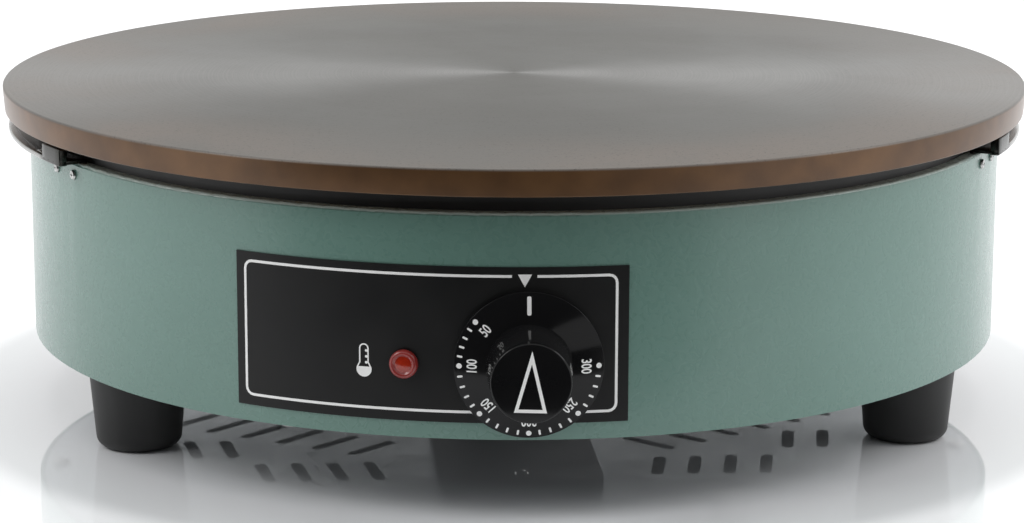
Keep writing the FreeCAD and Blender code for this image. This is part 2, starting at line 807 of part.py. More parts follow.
def pan():
    """Black pan that hangs in the drum by its lip, its insulation, and the ring in the gap."""
    body = new_body("heat_pan")
    profile = section_sketch(body, "section")
    polygon(profile, [
        ("0", "pan_under"),
        ("pan_radius", "pan_under"),
        ("pan_radius", "drum_top"),
        ("pan_radius + pan_lip", "drum_top"),
        ("pan_radius + pan_lip", "drum_top + pan_sheet"),
        ("pan_radius - pan_sheet", "drum_top + pan_sheet"),
        ("pan_radius - pan_sheet", "pan_floor"),
        ("0", "pan_floor"),
    ])
    revolve(body, "pressing", profile)
    cut_through(body, "pan_under", "2 * pan_sheet")
    wool = new_body("insulation")
    disc = flat_sketch(wool, "outline", "pan_floor")
    circles(disc, [("0", "0")], "pan_radius - pan_sheet - hole_clearance")
    pad(wool, "disc", disc, "insulation_thickness")
    cut_through(wool, "pan_floor", "insulation_thickness")
    bushes = new_body("leg_bushes")
    flange = flat_sketch(bushes, "flange", "pan_under")
    circles(flange, leg_spots(), "bush_flange_diameter / 2")
    circles(flange, leg_spots(), "element_diameter / 2 + fit")
    pad(bushes, "flange_discs", flange, "bush_flange", reverse=True)
    sleeve = flat_sketch(bushes, "sleeve", "pan_under")
    circles(sleeve, leg_spots(), "bush_diameter / 2 - hole_clearance")
    circles(sleeve, leg_spots(), "element_diameter / 2 + fit")
    pad(bushes, "sleeves", sleeve, "pan_sheet + insulation_thickness")
    ring = new_body("gap_ring")
    band = flat_sketch(ring, "outline", "drum_top")
    circles(band, [("0", "0")], "drum_radius - ring_inset")
    circles(band, [("0", "0")], "drum_radius - ring_inset - ring_sheet")
    pad(ring, "band", band, "plate_gap - ring_gap")


def cut_through(body, height, depth):
    """The holes that pillars, element legs and the capillary share, upwards from a height."""
    spots = (
        ("pillars", PILLARS, "pillar_diameter / 2 + hole_clearance"),
        ("legs", leg_spots(), "bush_diameter / 2"),
        ("capillary", [capillary_drop()], "capillary_hole / 2"),
    )
    for name, places, radius in spots:
        sketch = circles(flat_sketch(body, f"{name}_spots", height), places, radius)
        pocket(body, f"{name}_holes", sketch, depth, reverse=True)


def label():
    """Thin plate glued to the drum, curved with it, with a window behind the knob."""
    body = new_body("control_label")
    profile = section_sketch(body, "section", "(label_start + label_end) / 2")
    box_outline(profile, "label_inner", "drum_bottom + label_bottom",
                "label_outer", "drum_bottom + label_bottom + label_height")
    revolve(body, "sheet", profile, angle="label_end - label_start")
    wall_hole(body, "knob", "knob_azimuth", "knob_z", [("0", "0")], "label_window / 2")
    wall_hole(body, "lamp", "lamp_azimuth", "lamp_z", [("0", "0")], "lamp_body_diameter / 2 + fit")


def knob():
    """Round knob: a wide thin skirt for the dial, a tapered boss and a hub inside."""
    body = new_body("knob")
    profile = section_sketch(body, "section", "knob_azimuth", "knob_z")
    hub_end = "knob_back + spindle_grip"
    hollow_end = "knob_front - knob_wall"
    polygon(profile, [
        (hub_end, "0"),
        (hub_end, "spindle_diameter / 2 + spindle_fit"),
        ("knob_back", "spindle_diameter / 2 + spindle_fit"),
        ("knob_back", "hub_diameter / 2"),
        (hollow_end, "hub_diameter / 2"),
        (hollow_end, "boss_diameter / 2 - knob_wall"),
        ("knob_back + knob_recess", "boss_diameter / 2 - knob_wall"),
        ("knob_back + knob_recess", "recess_diameter / 2"),
        ("knob_back", "recess_diameter / 2"),
        ("knob_back", "skirt_diameter / 2"),
        ("knob_back + skirt_edge", "skirt_diameter / 2"),
        ("knob_back + skirt_rise", "boss_diameter / 2"),
        ("knob_front", "boss_front_diameter / 2"),
        ("knob_front", "0"),
    ])
    revolve(body, "moulding", profile, axis="H_Axis")
    soften(body, "boss_edge", "boss_round",
           round_edge("boss_front_diameter / 2", "knob_azimuth", "knob_front", "knob_z"))
    spindle = new_body("spindle")
    end = face_sketch(spindle, "outline", "knob_azimuth", "thermostat_front - spindle_inside", "knob_z")
    circles(end, [("0", "0")], "spindle_diameter / 2")
    pad(spindle, "rod", end, "knob_back + spindle_grip - seat - thermostat_front + spindle_inside")


def thermostat():
    """Thermostat behind the label: a block, a neck through the drum and two screw bosses."""
    body = new_body("thermostat")
    block = face_sketch(body, "block_outline", "knob_azimuth", "thermostat_rear", "knob_z")
    box_outline(block, "0 - thermostat_width / 2", "0 - thermostat_tall / 2",
                "thermostat_width / 2", "thermostat_tall / 2")
    pad(body, "block", block, "thermostat_depth")
    neck = face_sketch(body, "neck_outline", "knob_azimuth", "thermostat_front", "knob_z")
    circles(neck, [("0", "0")], "thermostat_neck_diameter / 2")
    pad(body, "neck", neck, "thermostat_standoff + drum_wall")
    bosses = face_sketch(body, "boss_outline", "knob_azimuth", "thermostat_front", "knob_z")
    circles(bosses, thermostat_screw_spots(), "thermostat_boss_diameter / 2")
    pad(body, "bosses", bosses, "thermostat_standoff - boss_gap")
    bore = face_sketch(body, "bore_outline", "knob_azimuth", "drum_radius", "knob_z")
    circles(bore, [("0", "0")], "spindle_diameter / 2 + spindle_fit")
    pocket(body, "bore", bore, "drum_radius - thermostat_front + spindle_inside + seat")
    taps = face_sketch(body, "tap_outline", "knob_azimuth", "drum_radius", "knob_z")
    circles(taps, thermostat_screw_spots(), "screw_diameter / 2 + fit")
    pocket(body, "taps", taps, "drum_radius - thermostat_front + spindle_inside")
    fixings = new_body("thermostat_screws")
    heads = face_sketch(fixings, "heads", "knob_azimuth", "drum_radius - hole_clearance / 2", "knob_z")
    circles(heads, thermostat_screw_spots(), HEAD.format("screw_diameter"))
    pad(fixings, "head_pads", heads, HEAD_HEIGHT.format("screw_diameter"))
    shanks = face_sketch(fixings, "shanks", "knob_azimuth", "drum_radius", "knob_z")
    circles(shanks, thermostat_screw_spots(), "screw_diameter / 2")
    pad(fixings, "shank_pads", shanks, "drum_radius - thermostat_front + spindle_inside / 2", reverse=True)


def lamp():
    """Pilot lamp: a red lens in front, a body through the drum and a nut behind the wall."""
    lens = new_body("lamp_lens")
    profile = section_sketch(lens, "section", "lamp_azimuth", "lamp_z")
    back = "label_outer + label_glue"
    tip = f"{back} + lamp_flange + lamp_dome"
    polygon(profile, [
        (back, "0"),
        (back, "lamp_flange_diameter / 2"),
        (f"{back} + lamp_flange", "lamp_flange_diameter / 2"),
        (f"{back} + lamp_flange", "lamp_dome_diameter / 2"),
        (tip, "lamp_dome_diameter / 2"),
        (tip, "0"),
    ])
    revolve(lens, "cap", profile, axis="H_Axis")
    soften(lens, "dome_edge", "lamp_round",
           round_edge("lamp_dome_diameter / 2", "lamp_azimuth", tip, "lamp_z"))
    case = new_body("lamp_body")
    end = face_sketch(case, "outline", "lamp_azimuth", "drum_radius - lamp_body_length", "lamp_z")
    circles(end, [("0", "0")], "lamp_body_diameter / 2")
    pad(case, "barrel", end, "lamp_body_length + label_glue + label_thickness")
    nut = new_body("lamp_nut")
    ring = face_sketch(nut, "outline", "lamp_azimuth", "drum_inner - hole_clearance - lamp_nut", "lamp_z")
    circles(ring, [("0", "0")], "lamp_nut_diameter / 2")
    circles(ring, [("0", "0")], "lamp_body_diameter / 2 + fit")
    pad(nut, "ring", ring, "lamp_nut")


def sensor():
    """The thermostat's bulb against the plate, its clip and screws, and its capillary."""
    bulb = new_body("sensor_bulb")
    end = section_sketch(bulb, "outline", "bulb_azimuth")
    circles(end, [("bulb_ring", "bulb_z")], "bulb_diameter / 2")
    pad(bulb, "rod", end, "bulb_length", midplane=True)
    clip = new_body("bulb_clip")
    inner = "(bulb_diameter / 2 + hole_clearance)"
    outer = f"({inner} + clip_sheet)"
    top = "core_under - seat"
    shoulder = "core_under - seat - clip_sheet"
    outline = section_sketch(clip, "outline", "bulb_azimuth")
    polygon(outline, [
        ("bulb_ring - clip_reach", shoulder),
        ("bulb_ring - clip_reach", top),
        (f"bulb_ring - {inner}", top),
        (f"bulb_ring - {inner}", "clip_under + clip_sheet"),
        (f"bulb_ring + {inner}", "clip_under + clip_sheet"),
        (f"bulb_ring + {inner}", top),
        ("bulb_ring + clip_reach", top),
        ("bulb_ring + clip_reach", shoulder),
        (f"bulb_ring + {outer}", shoulder),
        (f"bulb_ring + {outer}", "clip_under"),
        (f"bulb_ring - {outer}", "clip_under"),
        (f"bulb_ring - {outer}", shoulder),
    ])
    pad(clip, "strap", outline, "clip_width", midplane=True)
    holes = circles(flat_sketch(clip, "spots", shoulder), clip_screw_spots(), "screw_diameter / 2 + fit")
    pocket(clip, "holes", holes, "clip_sheet", reverse=True)
    screws("clip_screws", clip_screw_spots(), "screw_diameter", shoulder, "clip_sheet + thread_grip")
    start = spot("bulb_azimuth", "bulb_ring", "bulb_z", "bulb_length / 2")
    drop = [value(item) for item in capillary_drop()]
    level = value("knob_z + thermostat_tall / 2 - capillary_hole")
    inside = value("thermostat_rear - 2 * capillary_lead")
    arrive = "0 - thermostat_width / 2 + capillary_hole"
    route = [
        start,
        Vector(drop[0], drop[1], start.z),
        Vector(drop[0], drop[1], level),
        Vector(drop[0] / 2, drop[1], level),
        spot("knob_azimuth", inside, level, arrive),
        spot("knob_azimuth", "thermostat_rear", level, arrive),
    ]
    new_feature("capillary", tube(bent_path(route, value("capillary_bend")), value("capillary_diameter")))


def bent_path(points, largest):
    """Straight runs joined by tangent arcs, each as large as its two runs and a limit allow."""
    edges = []
    here = points[0]
    for before, corner, after in zip(points, points[1:], points[2:]):
        into = (corner - before).normalize()
        out = (after - corner).normalize()
        turn = into.getAngle(out)
        room = BEND_SHARE * min((corner - before).Length, (after - corner).Length)
        radius = min(room / math.tan(turn / 2), largest)
        trim = radius * math.tan(turn / 2)
        start = corner - into * trim
        end = corner + out * trim
        inward = (out - into).normalize()
        middle = corner + inward * (radius / math.cos(turn / 2) - radius)
        edges.append(Part.makeLine(here, start))
        edges.append(Part.Arc(start, middle, end).toShape())
        here = end
    edges.append(Part.makeLine(here, points[-1]))
    return Part.Wire(edges)


def pole(index, distance, height):
    """A spot in front of one of the terminal block's poles, counted from 0."""
    return spot("gland_azimuth", distance, height, f"({index} - ({POLES} - 1) / 2) * pole_pitch")


def wiring():
    """The wires between the terminal block, the thermostat, the lamp, the earth and the pins."""
    level = "base_top + block_tall / 2"
    face = "block_inner"
    near = "block_inner - wire_lead"
    rear = "thermostat_rear"
    clear = "thermostat_rear - wire_lead"
    low = "knob_z - thermostat_tall / 4"
    side = "thermostat_width / 4"
    legs = leg_spots()
    front_pin = Vector(value(legs[1][0]), value(legs[1][1]), value("pin_bottom"))
    back_pin = Vector(value(legs[0][0]), value(legs[0][1]), value("pin_bottom"))
    dip = Vector(0, 0, value("wire_dip"))
    lamp_end = "drum_radius - lamp_body_length"
    lamp_side = "wire_diameter"
    routes = {
        "wire_supply": [
            pole(1, face, level),
            pole(1, near, level),
            spot("knob_azimuth", clear, low, side),
            spot("knob_azimuth", rear, low, side),
        ],
        "wire_heater": [
            spot("knob_azimuth", rear, "knob_z", side),
            spot("knob_azimuth", clear, "knob_z", side),
            front_pin - dip - Vector(value("heater_shift"), 0, 0),
            front_pin - dip,
            front_pin,
        ],
        "wire_return": [
            back_pin,
            back_pin - dip,
            spot("return_azimuth", "inner_ring", level),
            pole(0, near, level),
            pole(0, face, level),
        ],
        "wire_lamp_supply": [
            spot("lamp_azimuth", lamp_end, "lamp_z", lamp_side),
            spot("lamp_azimuth", f"{lamp_end} - lamp_supply_lead", "lamp_z", lamp_side),
            spot("knob_azimuth", clear, "knob_z", "0 - thermostat_width / 8"),
            spot("knob_azimuth", rear, "knob_z", "0 - thermostat_width / 8"),
        ],
        "wire_lamp_return": [
            spot("lamp_azimuth", lamp_end, "lamp_z", f"0 - {lamp_side}"),
            spot("lamp_azimuth", f"{lamp_end} - lamp_return_lead", "lamp_z", f"0 - {lamp_side}"),
            pole(2, near, level),
            pole(2, face, level),
        ],
        "wire_earth": [
            pole(3, face, level),
            pole(3, near, level),
            spot("earth_azimuth", "earth_ring - wire_lead", level),
            spot("earth_azimuth", "earth_ring - large_screw_diameter / 2 - seat", level),
        ],
    }
    for name, points in routes.items():
        new_feature(name, tube(bent_path(points, value("wire_bend")), value("wire_diameter")))


def supply_entry():
    """Cable gland with its nut, terminal block with two screws, and the earth stud."""
    gland = new_body("cable_gland")
    profile = section_sketch(gland, "section", "gland_azimuth", "gland_z")
    bore = "gland_bore_diameter / 2"
    inside = "drum_inner - gland_inside"
    back = "drum_radius + seat"
    tip = f"{back} + gland_flange + gland_dome"
    polygon(profile, [
        (inside, bore),
        (inside, "gland_thread_diameter / 2"),
        (back, "gland_thread_diameter / 2"),
        (back, "gland_dome_diameter / 2"),
        (f"{tip} - gland_dome / 3", "gland_dome_diameter / 2"),
        (tip, f"{bore} + gland_dome_diameter / 6"),
        (tip, bore),
    ])
    revolve(gland, "barrel", profile, axis="H_Axis")
    flats = face_sketch(gland, "flats", "gland_azimuth", back, "gland_z")
    hexagons(flats, [("0", "0")], "gland_flats / sqrt(3)", "gland_thread_diameter / 2")
    pad(gland, "hexagon", flats, "gland_flange")
    nut = new_body("gland_nut")
    ring = face_sketch(nut, "outline", "gland_azimuth", "drum_inner - 2 * hole_clearance", "gland_z")
    hexagons(ring, [("0", "0")], "gland_flats / sqrt(3)", "gland_thread_diameter / 2 + fit")
    pad(nut, "ring", ring, "gland_nut", reverse=True)
    block = new_body("terminal_block")
    outline = face_sketch(block, "outline", "gland_azimuth", "block_inner", "base_top")
    box_outline(outline, "0 - block_length / 2", "0", "block_length / 2", "block_tall")
    pad(block, "body", outline, "block_depth")
    holes = flat_sketch(block, "spots", "base_top")
    circles(holes, BLOCK_SCREWS, "small_screw_diameter / 2 + fit")
    pocket(block, "holes", holes, "block_tall", reverse=True)
    screws("block_screws", BLOCK_SCREWS, "small_screw_diameter", "drum_bottom",
           "base_sheet + block_tall / 2")
    screws("earth_stud", EARTH, "large_screw_diameter", "drum_bottom", "base_sheet + block_tall")
    nuts("earth_nut", EARTH, "large_screw_diameter", "base_top")


def grips():
    """A curved bar with a thin web at each side, whose ends hook into the drum and are screwed on."""
    step = "(grip_half_angle - grip_end_angle / 2)"
    leg_step = "(grip_half_angle - grip_leg_angle / 2)"
    for name, side in GRIPS.items():
        body = new_body(name)
        bar = section_sketch(body, "bar_section", side)
        box_outline(bar, "grip_outer - grip_depth", "drum_top - grip_drop",
                    "grip_outer", "drum_top - grip_drop + grip_bar")
        revolve(body, "bar", bar, angle="2 * grip_half_angle")
        web = section_sketch(body, "web_section", side)
        box_outline(web, "drum_inner", "drum_top + grip_seat",
                    "grip_outer - grip_depth / 2", "drum_top + grip_seat + grip_web")
        revolve(body, "web", web, angle="2 * grip_half_angle")
        for index, end in enumerate((-1, 1)):
            tab = section_sketch(body, f"tab_section_{index}", f"({side} + {end} * {step})")
            box_outline(tab, "grip_outer - grip_end_depth", "drum_top + grip_seat",
                        "grip_outer", "drum_top + grip_seat + grip_end_height")
            revolve(body, f"tab_{index}", tab, angle="grip_end_angle")
            leg = section_sketch(body, f"leg_section_{index}", f"({side} + {end} * {leg_step})")
            bridge = "drum_top + grip_seat + grip_leg_sheet"
            polygon(leg, [
                ("grip_leg_inner", "drum_top - grip_leg_length"),
                ("grip_leg_outer", "drum_top - grip_leg_length"),
                ("grip_leg_outer", "drum_top + grip_seat"),
                ("grip_outer - grip_depth / 2", "drum_top + grip_seat"),
                ("grip_outer - grip_depth / 2", bridge),
                ("grip_leg_inner", bridge),
            ])
            revolve(body, f"leg_{index}", leg, angle="grip_leg_angle")
        for index, azimuth in enumerate(grip_screw_azimuths()):
            if (value(azimuth) < 0) == (name == "grip_left"):
                wall_hole(body, f"fixing_{index}", azimuth, "grip_screw_z", [("0", "0")],
                          "grip_screw_diameter / 2 + fit")
    fixings = new_body("grip_screws")
    grip_nuts = new_body("grip_nuts")
    inside = "grip_leg_inner - seat"
    reach = f"drum_radius + seat - ({inside}) + 1.5 * grip_screw_diameter * nut_height_factor"
    for index, azimuth in enumerate(grip_screw_azimuths()):
        head = face_sketch(fixings, f"head_{index}", azimuth, "drum_radius + seat", "grip_screw_z")
        circles(head, [("0", "0")], HEAD.format("grip_screw_diameter"))
        pad(fixings, f"head_pad_{index}", head, HEAD_HEIGHT.format("grip_screw_diameter"))
        shank = face_sketch(fixings, f"shank_{index}", azimuth, "drum_radius + seat", "grip_screw_z")
        circles(shank, [("0", "0")], "grip_screw_diameter / 2")
        pad(fixings, f"shank_pad_{index}", shank, reach, reverse=True)
        outline = face_sketch(grip_nuts, f"outline_{index}", azimuth, inside, "grip_screw_z")
        hexagons(outline, [("0", "0")], NUT_CORNER.format("grip_screw_diameter"),
                 "grip_screw_diameter / 2 + fit")
        pad(grip_nuts, f"nut_{index}", outline, NUT_HEIGHT.format("grip_screw_diameter"), reverse=True)


def check_shapes():
    """Stops if any object failed, any sub-part is bad or any cut removed nothing."""
    for item in doc.Objects:
        if "Invalid" in item.State or "Error" in item.State:
            raise ValueError(f"{item.Name} failed: {item.State}")
        if item.TypeId in ("PartDesign::Pocket", "PartDesign::Groove"):
            if item.Shape.Volume > item.BaseFeature.Shape.Volume - CLOSE:
                raise ValueError(f"{item.Name} cuts nothing")
    for node in nodes:
        shape = node.Shape
        if shape.isNull() or not shape.isValid() or not shape.Solids:
            raise ValueError(f"{node.Label} has no valid solid")
        print(f"{node.Label}: {len(shape.Solids)} solid(s), {shape.Volume / 1000:.2f} cm3")


griddle_plate()
drum()
base_plate()
feet()
underside()
pillars()
elements()
element_links()
clamps()
pan()
label()
knob()
thermostat()
lamp()
sensor()
supply_entry()
wiring()
grips()
doc.recompute()
check_shapes()

os.makedirs("parts", exist_ok=True)
for node in nodes:
    node.Shape.exportStep(f"parts/{node.Label}.step")
print(f"{len(nodes)} nodes written")
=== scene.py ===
# %% [markdown]
# # An electric crepe maker
# The measured model of the crepe maker is loaded as a fixed frame, and this notebook dresses it:
# cast iron with its turning marks, hammered enamel, a printed label, a moulded knob with its dial.
# Everything is in metres, +Z up, with the front towards -Y and the origin under the drum's axis.

import json
import math

import bmesh
import bpy
from mathutils import Matrix, Vector


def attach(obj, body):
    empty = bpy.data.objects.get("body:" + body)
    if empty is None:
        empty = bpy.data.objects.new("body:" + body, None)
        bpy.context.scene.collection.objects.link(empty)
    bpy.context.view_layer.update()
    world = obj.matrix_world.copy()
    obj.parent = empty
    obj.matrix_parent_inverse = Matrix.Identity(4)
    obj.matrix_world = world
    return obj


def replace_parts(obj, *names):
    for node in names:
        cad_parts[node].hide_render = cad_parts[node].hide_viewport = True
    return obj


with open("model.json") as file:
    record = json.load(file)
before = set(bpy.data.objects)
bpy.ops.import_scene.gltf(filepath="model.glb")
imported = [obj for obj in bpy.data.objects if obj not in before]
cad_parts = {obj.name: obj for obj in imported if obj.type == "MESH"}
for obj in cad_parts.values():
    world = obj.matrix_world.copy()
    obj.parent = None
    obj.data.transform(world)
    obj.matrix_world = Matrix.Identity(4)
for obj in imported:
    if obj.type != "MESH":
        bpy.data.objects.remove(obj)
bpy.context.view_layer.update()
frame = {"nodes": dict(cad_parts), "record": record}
nodes = frame["nodes"]
MM = 0.001

# %% [markdown]
# ## Camera
# The photograph was taken from a little left of the front and from above, with a long lens, so the
# drum's sides stay nearly parallel. The place and the tilt were found by fitting the plate's and
# the drum's edges. The camera is built by turning a plain camera about Z, X and its own axis, with
# the fitted pan, tilt and roll in radians.

# %% Camera
CAMERA_DISTANCE = 1.24244
CAMERA_HEIGHT = 0.33083
CAMERA_AZIMUTH = math.radians(-4.5)
CAMERA_PAN = 0.0005
CAMERA_TILT = 0.2223
CAMERA_ROLL = 0.003

camera_data = bpy.data.cameras.new("camera")
camera_data.lens = 111.72
camera_data.sensor_width = 36
camera_data.clip_start = 0.05
camera = bpy.data.objects.new("camera", camera_data)
bpy.context.scene.collection.objects.link(camera)
camera_x = CAMERA_DISTANCE * math.sin(CAMERA_AZIMUTH)
camera_y = -CAMERA_DISTANCE * math.cos(CAMERA_AZIMUTH)
camera.matrix_world = (
    Matrix.Translation((camera_x, camera_y, CAMERA_HEIGHT))
    @ Matrix.Rotation(CAMERA_AZIMUTH + CAMERA_PAN, 4, "Z")
    @ Matrix.Rotation(math.radians(90) - CAMERA_TILT, 4, "X")
    @ Matrix.Rotation(CAMERA_ROLL, 4, "Z")
)
bpy.context.scene.camera = camera
bpy.context.scene.view_settings.view_transform = "Standard"
print(f"camera at {[round(number, 3) for number in camera.location]}")

# %% [markdown]
# ## Small helpers for shader nodes
# A finish is a material with one Principled shader. Its plain numbers are set on the shader itself,
# and whatever changes over the surface comes from nodes. Effects that several finishes share are
# node groups, which give out only masks, values and normals.

# %% Shader helpers
def add(tree, kind, **settings):
    """A new shader node with some of its own settings."""
    item = tree.nodes.new(kind)
    for name, setting in settings.items():
        setattr(item, name, setting)
    return item


def wire(tree, source, target):
    """Links one socket to another."""
    tree.links.new(source, target)


def new_effect(name, inputs, outputs):
    """An empty node group with named inputs and outputs, and its two end nodes."""
    tree = bpy.data.node_groups.new(name, "ShaderNodeTree")
    for label, kind, start in inputs:
        socket = tree.interface.new_socket(label, in_out="INPUT", socket_type=kind)
        if start is not None:
            socket.default_value = start
    for label, kind in outputs:
        tree.interface.new_socket(label, in_out="OUTPUT", socket_type=kind)
    return tree, tree.nodes.new("NodeGroupInput"), tree.nodes.new("NodeGroupOutput")


VALUE = "NodeSocketFloat"
VECTOR = "NodeSocketVector"


def new_finish(name, color, roughness, metallic=0.0, **more):
    """A material whose shader has plain values, and the tree, shader and place to build on."""
    material = bpy.data.materials.new(name)
    material.use_nodes = True
    tree = material.node_tree
    shader = next(item for item in tree.nodes if item.type == "BSDF_PRINCIPLED")
    shader.inputs["Base Color"].default_value = (*color, 1)
    shader.inputs["Roughness"].default_value = roughness
    shader.inputs["Metallic"].default_value = metallic
    for label, number in more.items():
        shader.inputs[label.replace("_", " ")].default_value = number
    place = add(tree, "ShaderNodeTexCoord").outputs["Object"]
    return material, tree, shader, place


def effect(tree, group, place, **numbers):
    """Puts a shared effect into a material and gives it the surface's place and its numbers."""
    item = add(tree, "ShaderNodeGroup", node_tree=group)
    wire(tree, place, item.inputs["Place"])
    for label, number in numbers.items():
        item.inputs[label.replace("_", " ")].default_value = number
    return item


def mix_colors(tree, mask, first, second):
    """A colour between two, by a mask. Each of the two is a colour or a socket."""
    item = add(tree, "ShaderNodeMix", data_type="RGBA")
    wire(tree, mask, item.inputs["Factor"])
    for socket, color in ((item.inputs["A"], first), (item.inputs["B"], second)):
        if isinstance(color, tuple):
            socket.default_value = (*color, 1)
        else:
            wire(tree, color, socket)
    return item.outputs["Result"]


def mix_values(tree, mask, first, second):
    """A value between two, by a mask. Each of the two is a number or a socket."""
    item = add(tree, "ShaderNodeMix", data_type="FLOAT")
    wire(tree, mask, item.inputs["Factor"])
    for socket, number in ((item.inputs["A"], first), (item.inputs["B"], second)):
        if isinstance(number, (int, float)):
            socket.default_value = number
        else:
            wire(tree, number, socket)
    return item.outputs["Result"]


def join_values(tree, operation, first, second=0.0):
    """One sum, product, maximum or other operation on two values, or on the first alone."""
    item = add(tree, "ShaderNodeMath", operation=operation)
    for socket, number in zip(item.inputs, (first, second)):
        if isinstance(number, (int, float)):
            socket.default_value = number
        else:
            wire(tree, number, socket)
    return item.outputs[0]


def ramp_values(tree, source, low, high, to_low=0.0, to_high=1.0):
    """Maps a range of values onto another, smoothly, and holds the ends."""
    item = add(tree, "ShaderNodeMapRange", interpolation_type="SMOOTHSTEP")
    wire(tree, source, item.inputs["Value"])
    limits = {"From Min": low, "From Max": high, "To Min": to_low, "To Max": to_high}
    for label, number in limits.items():
        item.inputs[label].default_value = number
    return item.outputs["Result"]


def split_place(tree, place):
    """The X, Y and Z of a place or a direction, as a node's outputs."""
    item = add(tree, "ShaderNodeSeparateXYZ")
    wire(tree, place, item.inputs[0])
    return item.outputs


def axis_distance(tree, place):
    """How far a place is from the Z axis."""
    flat = add(tree, "ShaderNodeVectorMath", operation="MULTIPLY")
    flat.inputs[1].default_value = (1, 1, 0)
    wire(tree, place, flat.inputs[0])
    length = add(tree, "ShaderNodeVectorMath", operation="LENGTH")
    wire(tree, flat.outputs["Vector"], length.inputs[0])
    return length.outputs["Value"]


def raise_skin(tree, height, start, end):
    """Ends an effect with its height as its value and with a bump of its depth as its normal."""
    bump = add(tree, "ShaderNodeBump")
    wire(tree, height, bump.inputs["Height"])
    wire(tree, start.outputs["Depth"], bump.inputs["Distance"])
    wire(tree, height, end.inputs["Value"])
    wire(tree, bump.outputs["Normal"], end.inputs["Normal"])


print("shader helpers ready")

# %% [markdown]
# ## Shared effects
# Four effects turn up on many pieces. Cloudy tone is the slow unevenness of any real surface.
# Fine grain is the small roughness of castings, rubber and mouldings. Turning marks are the
# circles that a lathe leaves. Hammered skin is the soft, uneven ripple of hammer enamel.

# %% Cloudy tone
cloudy, start, end = new_effect(
    "cloudy_tone",
    [("Place", VECTOR, None), ("Scale", VALUE, 30.0), ("Low", VALUE, 0.0), ("High", VALUE, 1.0)],
    [("Value", VALUE)],
)
noise = add(cloudy, "ShaderNodeTexNoise")
noise.inputs["Detail"].default_value = 5.0
spread = add(cloudy, "ShaderNodeMapRange")
spread.inputs["From Min"].default_value = 0.3
spread.inputs["From Max"].default_value = 0.7
wire(cloudy, start.outputs["Place"], noise.inputs["Vector"])
wire(cloudy, start.outputs["Scale"], noise.inputs["Scale"])
wire(cloudy, noise.outputs["Fac"], spread.inputs["Value"])
wire(cloudy, start.outputs["Low"], spread.inputs["To Min"])
wire(cloudy, start.outputs["High"], spread.inputs["To Max"])
wire(cloudy, spread.outputs["Result"], end.inputs["Value"])
print("cloudy tone ready")

# %% Fine grain
grain, start, end = new_effect(
    "fine_grain",
    [("Place", VECTOR, None), ("Scale", VALUE, 2000.0), ("Depth", VALUE, 0.00002)],
    [("Value", VALUE), ("Normal", VECTOR)],
)
noise = add(grain, "ShaderNodeTexNoise")
noise.inputs["Detail"].default_value = 3.0
wire(grain, start.outputs["Place"], noise.inputs["Vector"])
wire(grain, start.outputs["Scale"], noise.inputs["Scale"])
raise_skin(grain, noise.outputs["Fac"], start, end)
print("fine grain ready")

# %% Turning marks
turned, start, end = new_effect(
    "turning_marks",
    [("Place", VECTOR, None), ("Scale", VALUE, 1500.0), ("Depth", VALUE, 0.00001)],
    [("Value", VALUE), ("Radius", VALUE), ("Normal", VECTOR)],
)
radius = axis_distance(turned, start.outputs["Place"])
circles = add(turned, "ShaderNodeTexNoise", noise_dimensions="1D")
circles.inputs["Detail"].default_value = 4.0
wire(turned, radius, circles.inputs["W"])
wire(turned, start.outputs["Scale"], circles.inputs["Scale"])
wire(turned, radius, end.inputs["Radius"])
raise_skin(turned, circles.outputs["Fac"], start, end)
print("turning marks ready")

# %% Hammered skin
hammered, start, end = new_effect(
    "hammered_skin",
    [("Place", VECTOR, None), ("Scale", VALUE, 350.0), ("Depth", VALUE, 0.0001)],
    [("Value", VALUE), ("Normal", VECTOR)],
)
ripples = add(hammered, "ShaderNodeTexNoise")
ripples.inputs["Detail"].default_value = 1.5
ripples.inputs["Distortion"].default_value = 1.2
wire(hammered, start.outputs["Place"], ripples.inputs["Vector"])
wire(hammered, start.outputs["Scale"], ripples.inputs["Scale"])
raise_skin(hammered, ripples.outputs["Fac"], start, end)
print("hammered skin ready")

# %% [markdown]
# ## Cast iron
# The plate is machined on top and then seasoned with oil. The top is a satin grey with turning
# marks and small dark pores, warmer towards its edge, and the rim keeps a brown, copper-like skin
# of burnt oil. A mask by the height tells the rim from the top.

# %% Cast iron finish
finishes = {}
PLATE_RADIUS, PLATE_TOP = 200, 126.7

material, tree, shader, place = new_finish(
    "cast_iron", (0.13, 0.125, 0.115), 0.48, 0.3, Anisotropic=0.75)
shader.inputs["Anisotropic Rotation"].default_value = 0.25
marks = effect(tree, turned, place, Scale=1400.0, Depth=0.000004)
tone = effect(tree, cloudy, place, Scale=14.0)
pores = effect(tree, grain, place, Scale=1100.0, Depth=0.00001)
patches = effect(tree, cloudy, place, Scale=60.0)
height = split_place(tree, place)["Z"]
rim = ramp_values(tree, height, (PLATE_TOP - 1.0) * MM, (PLATE_TOP - 0.2) * MM, 1, 0)
seasoned = ramp_values(tree, marks.outputs["Radius"], 120 * MM, (PLATE_RADIUS - 0.5) * MM)
uneven = ramp_values(tree, tone.outputs["Value"], 0.2, 0.9, 0.35, 1)
warm = join_values(tree, "MULTIPLY", seasoned, uneven)
top_grey = mix_colors(tree, tone.outputs["Value"], (0.094, 0.094, 0.086), (0.116, 0.114, 0.106))
oiled = mix_colors(tree, warm, top_grey, (0.175, 0.15, 0.13))
dark = ramp_values(tree, pores.outputs["Value"], 0.3, 0.42, 0.7, 0)
speckled = mix_colors(tree, dark, oiled, (0.06, 0.055, 0.05))
crests = ramp_values(tree, marks.outputs["Value"], 0.35, 0.7, 0, 0.25)
lined = mix_colors(tree, crests, speckled, (0.19, 0.18, 0.165))
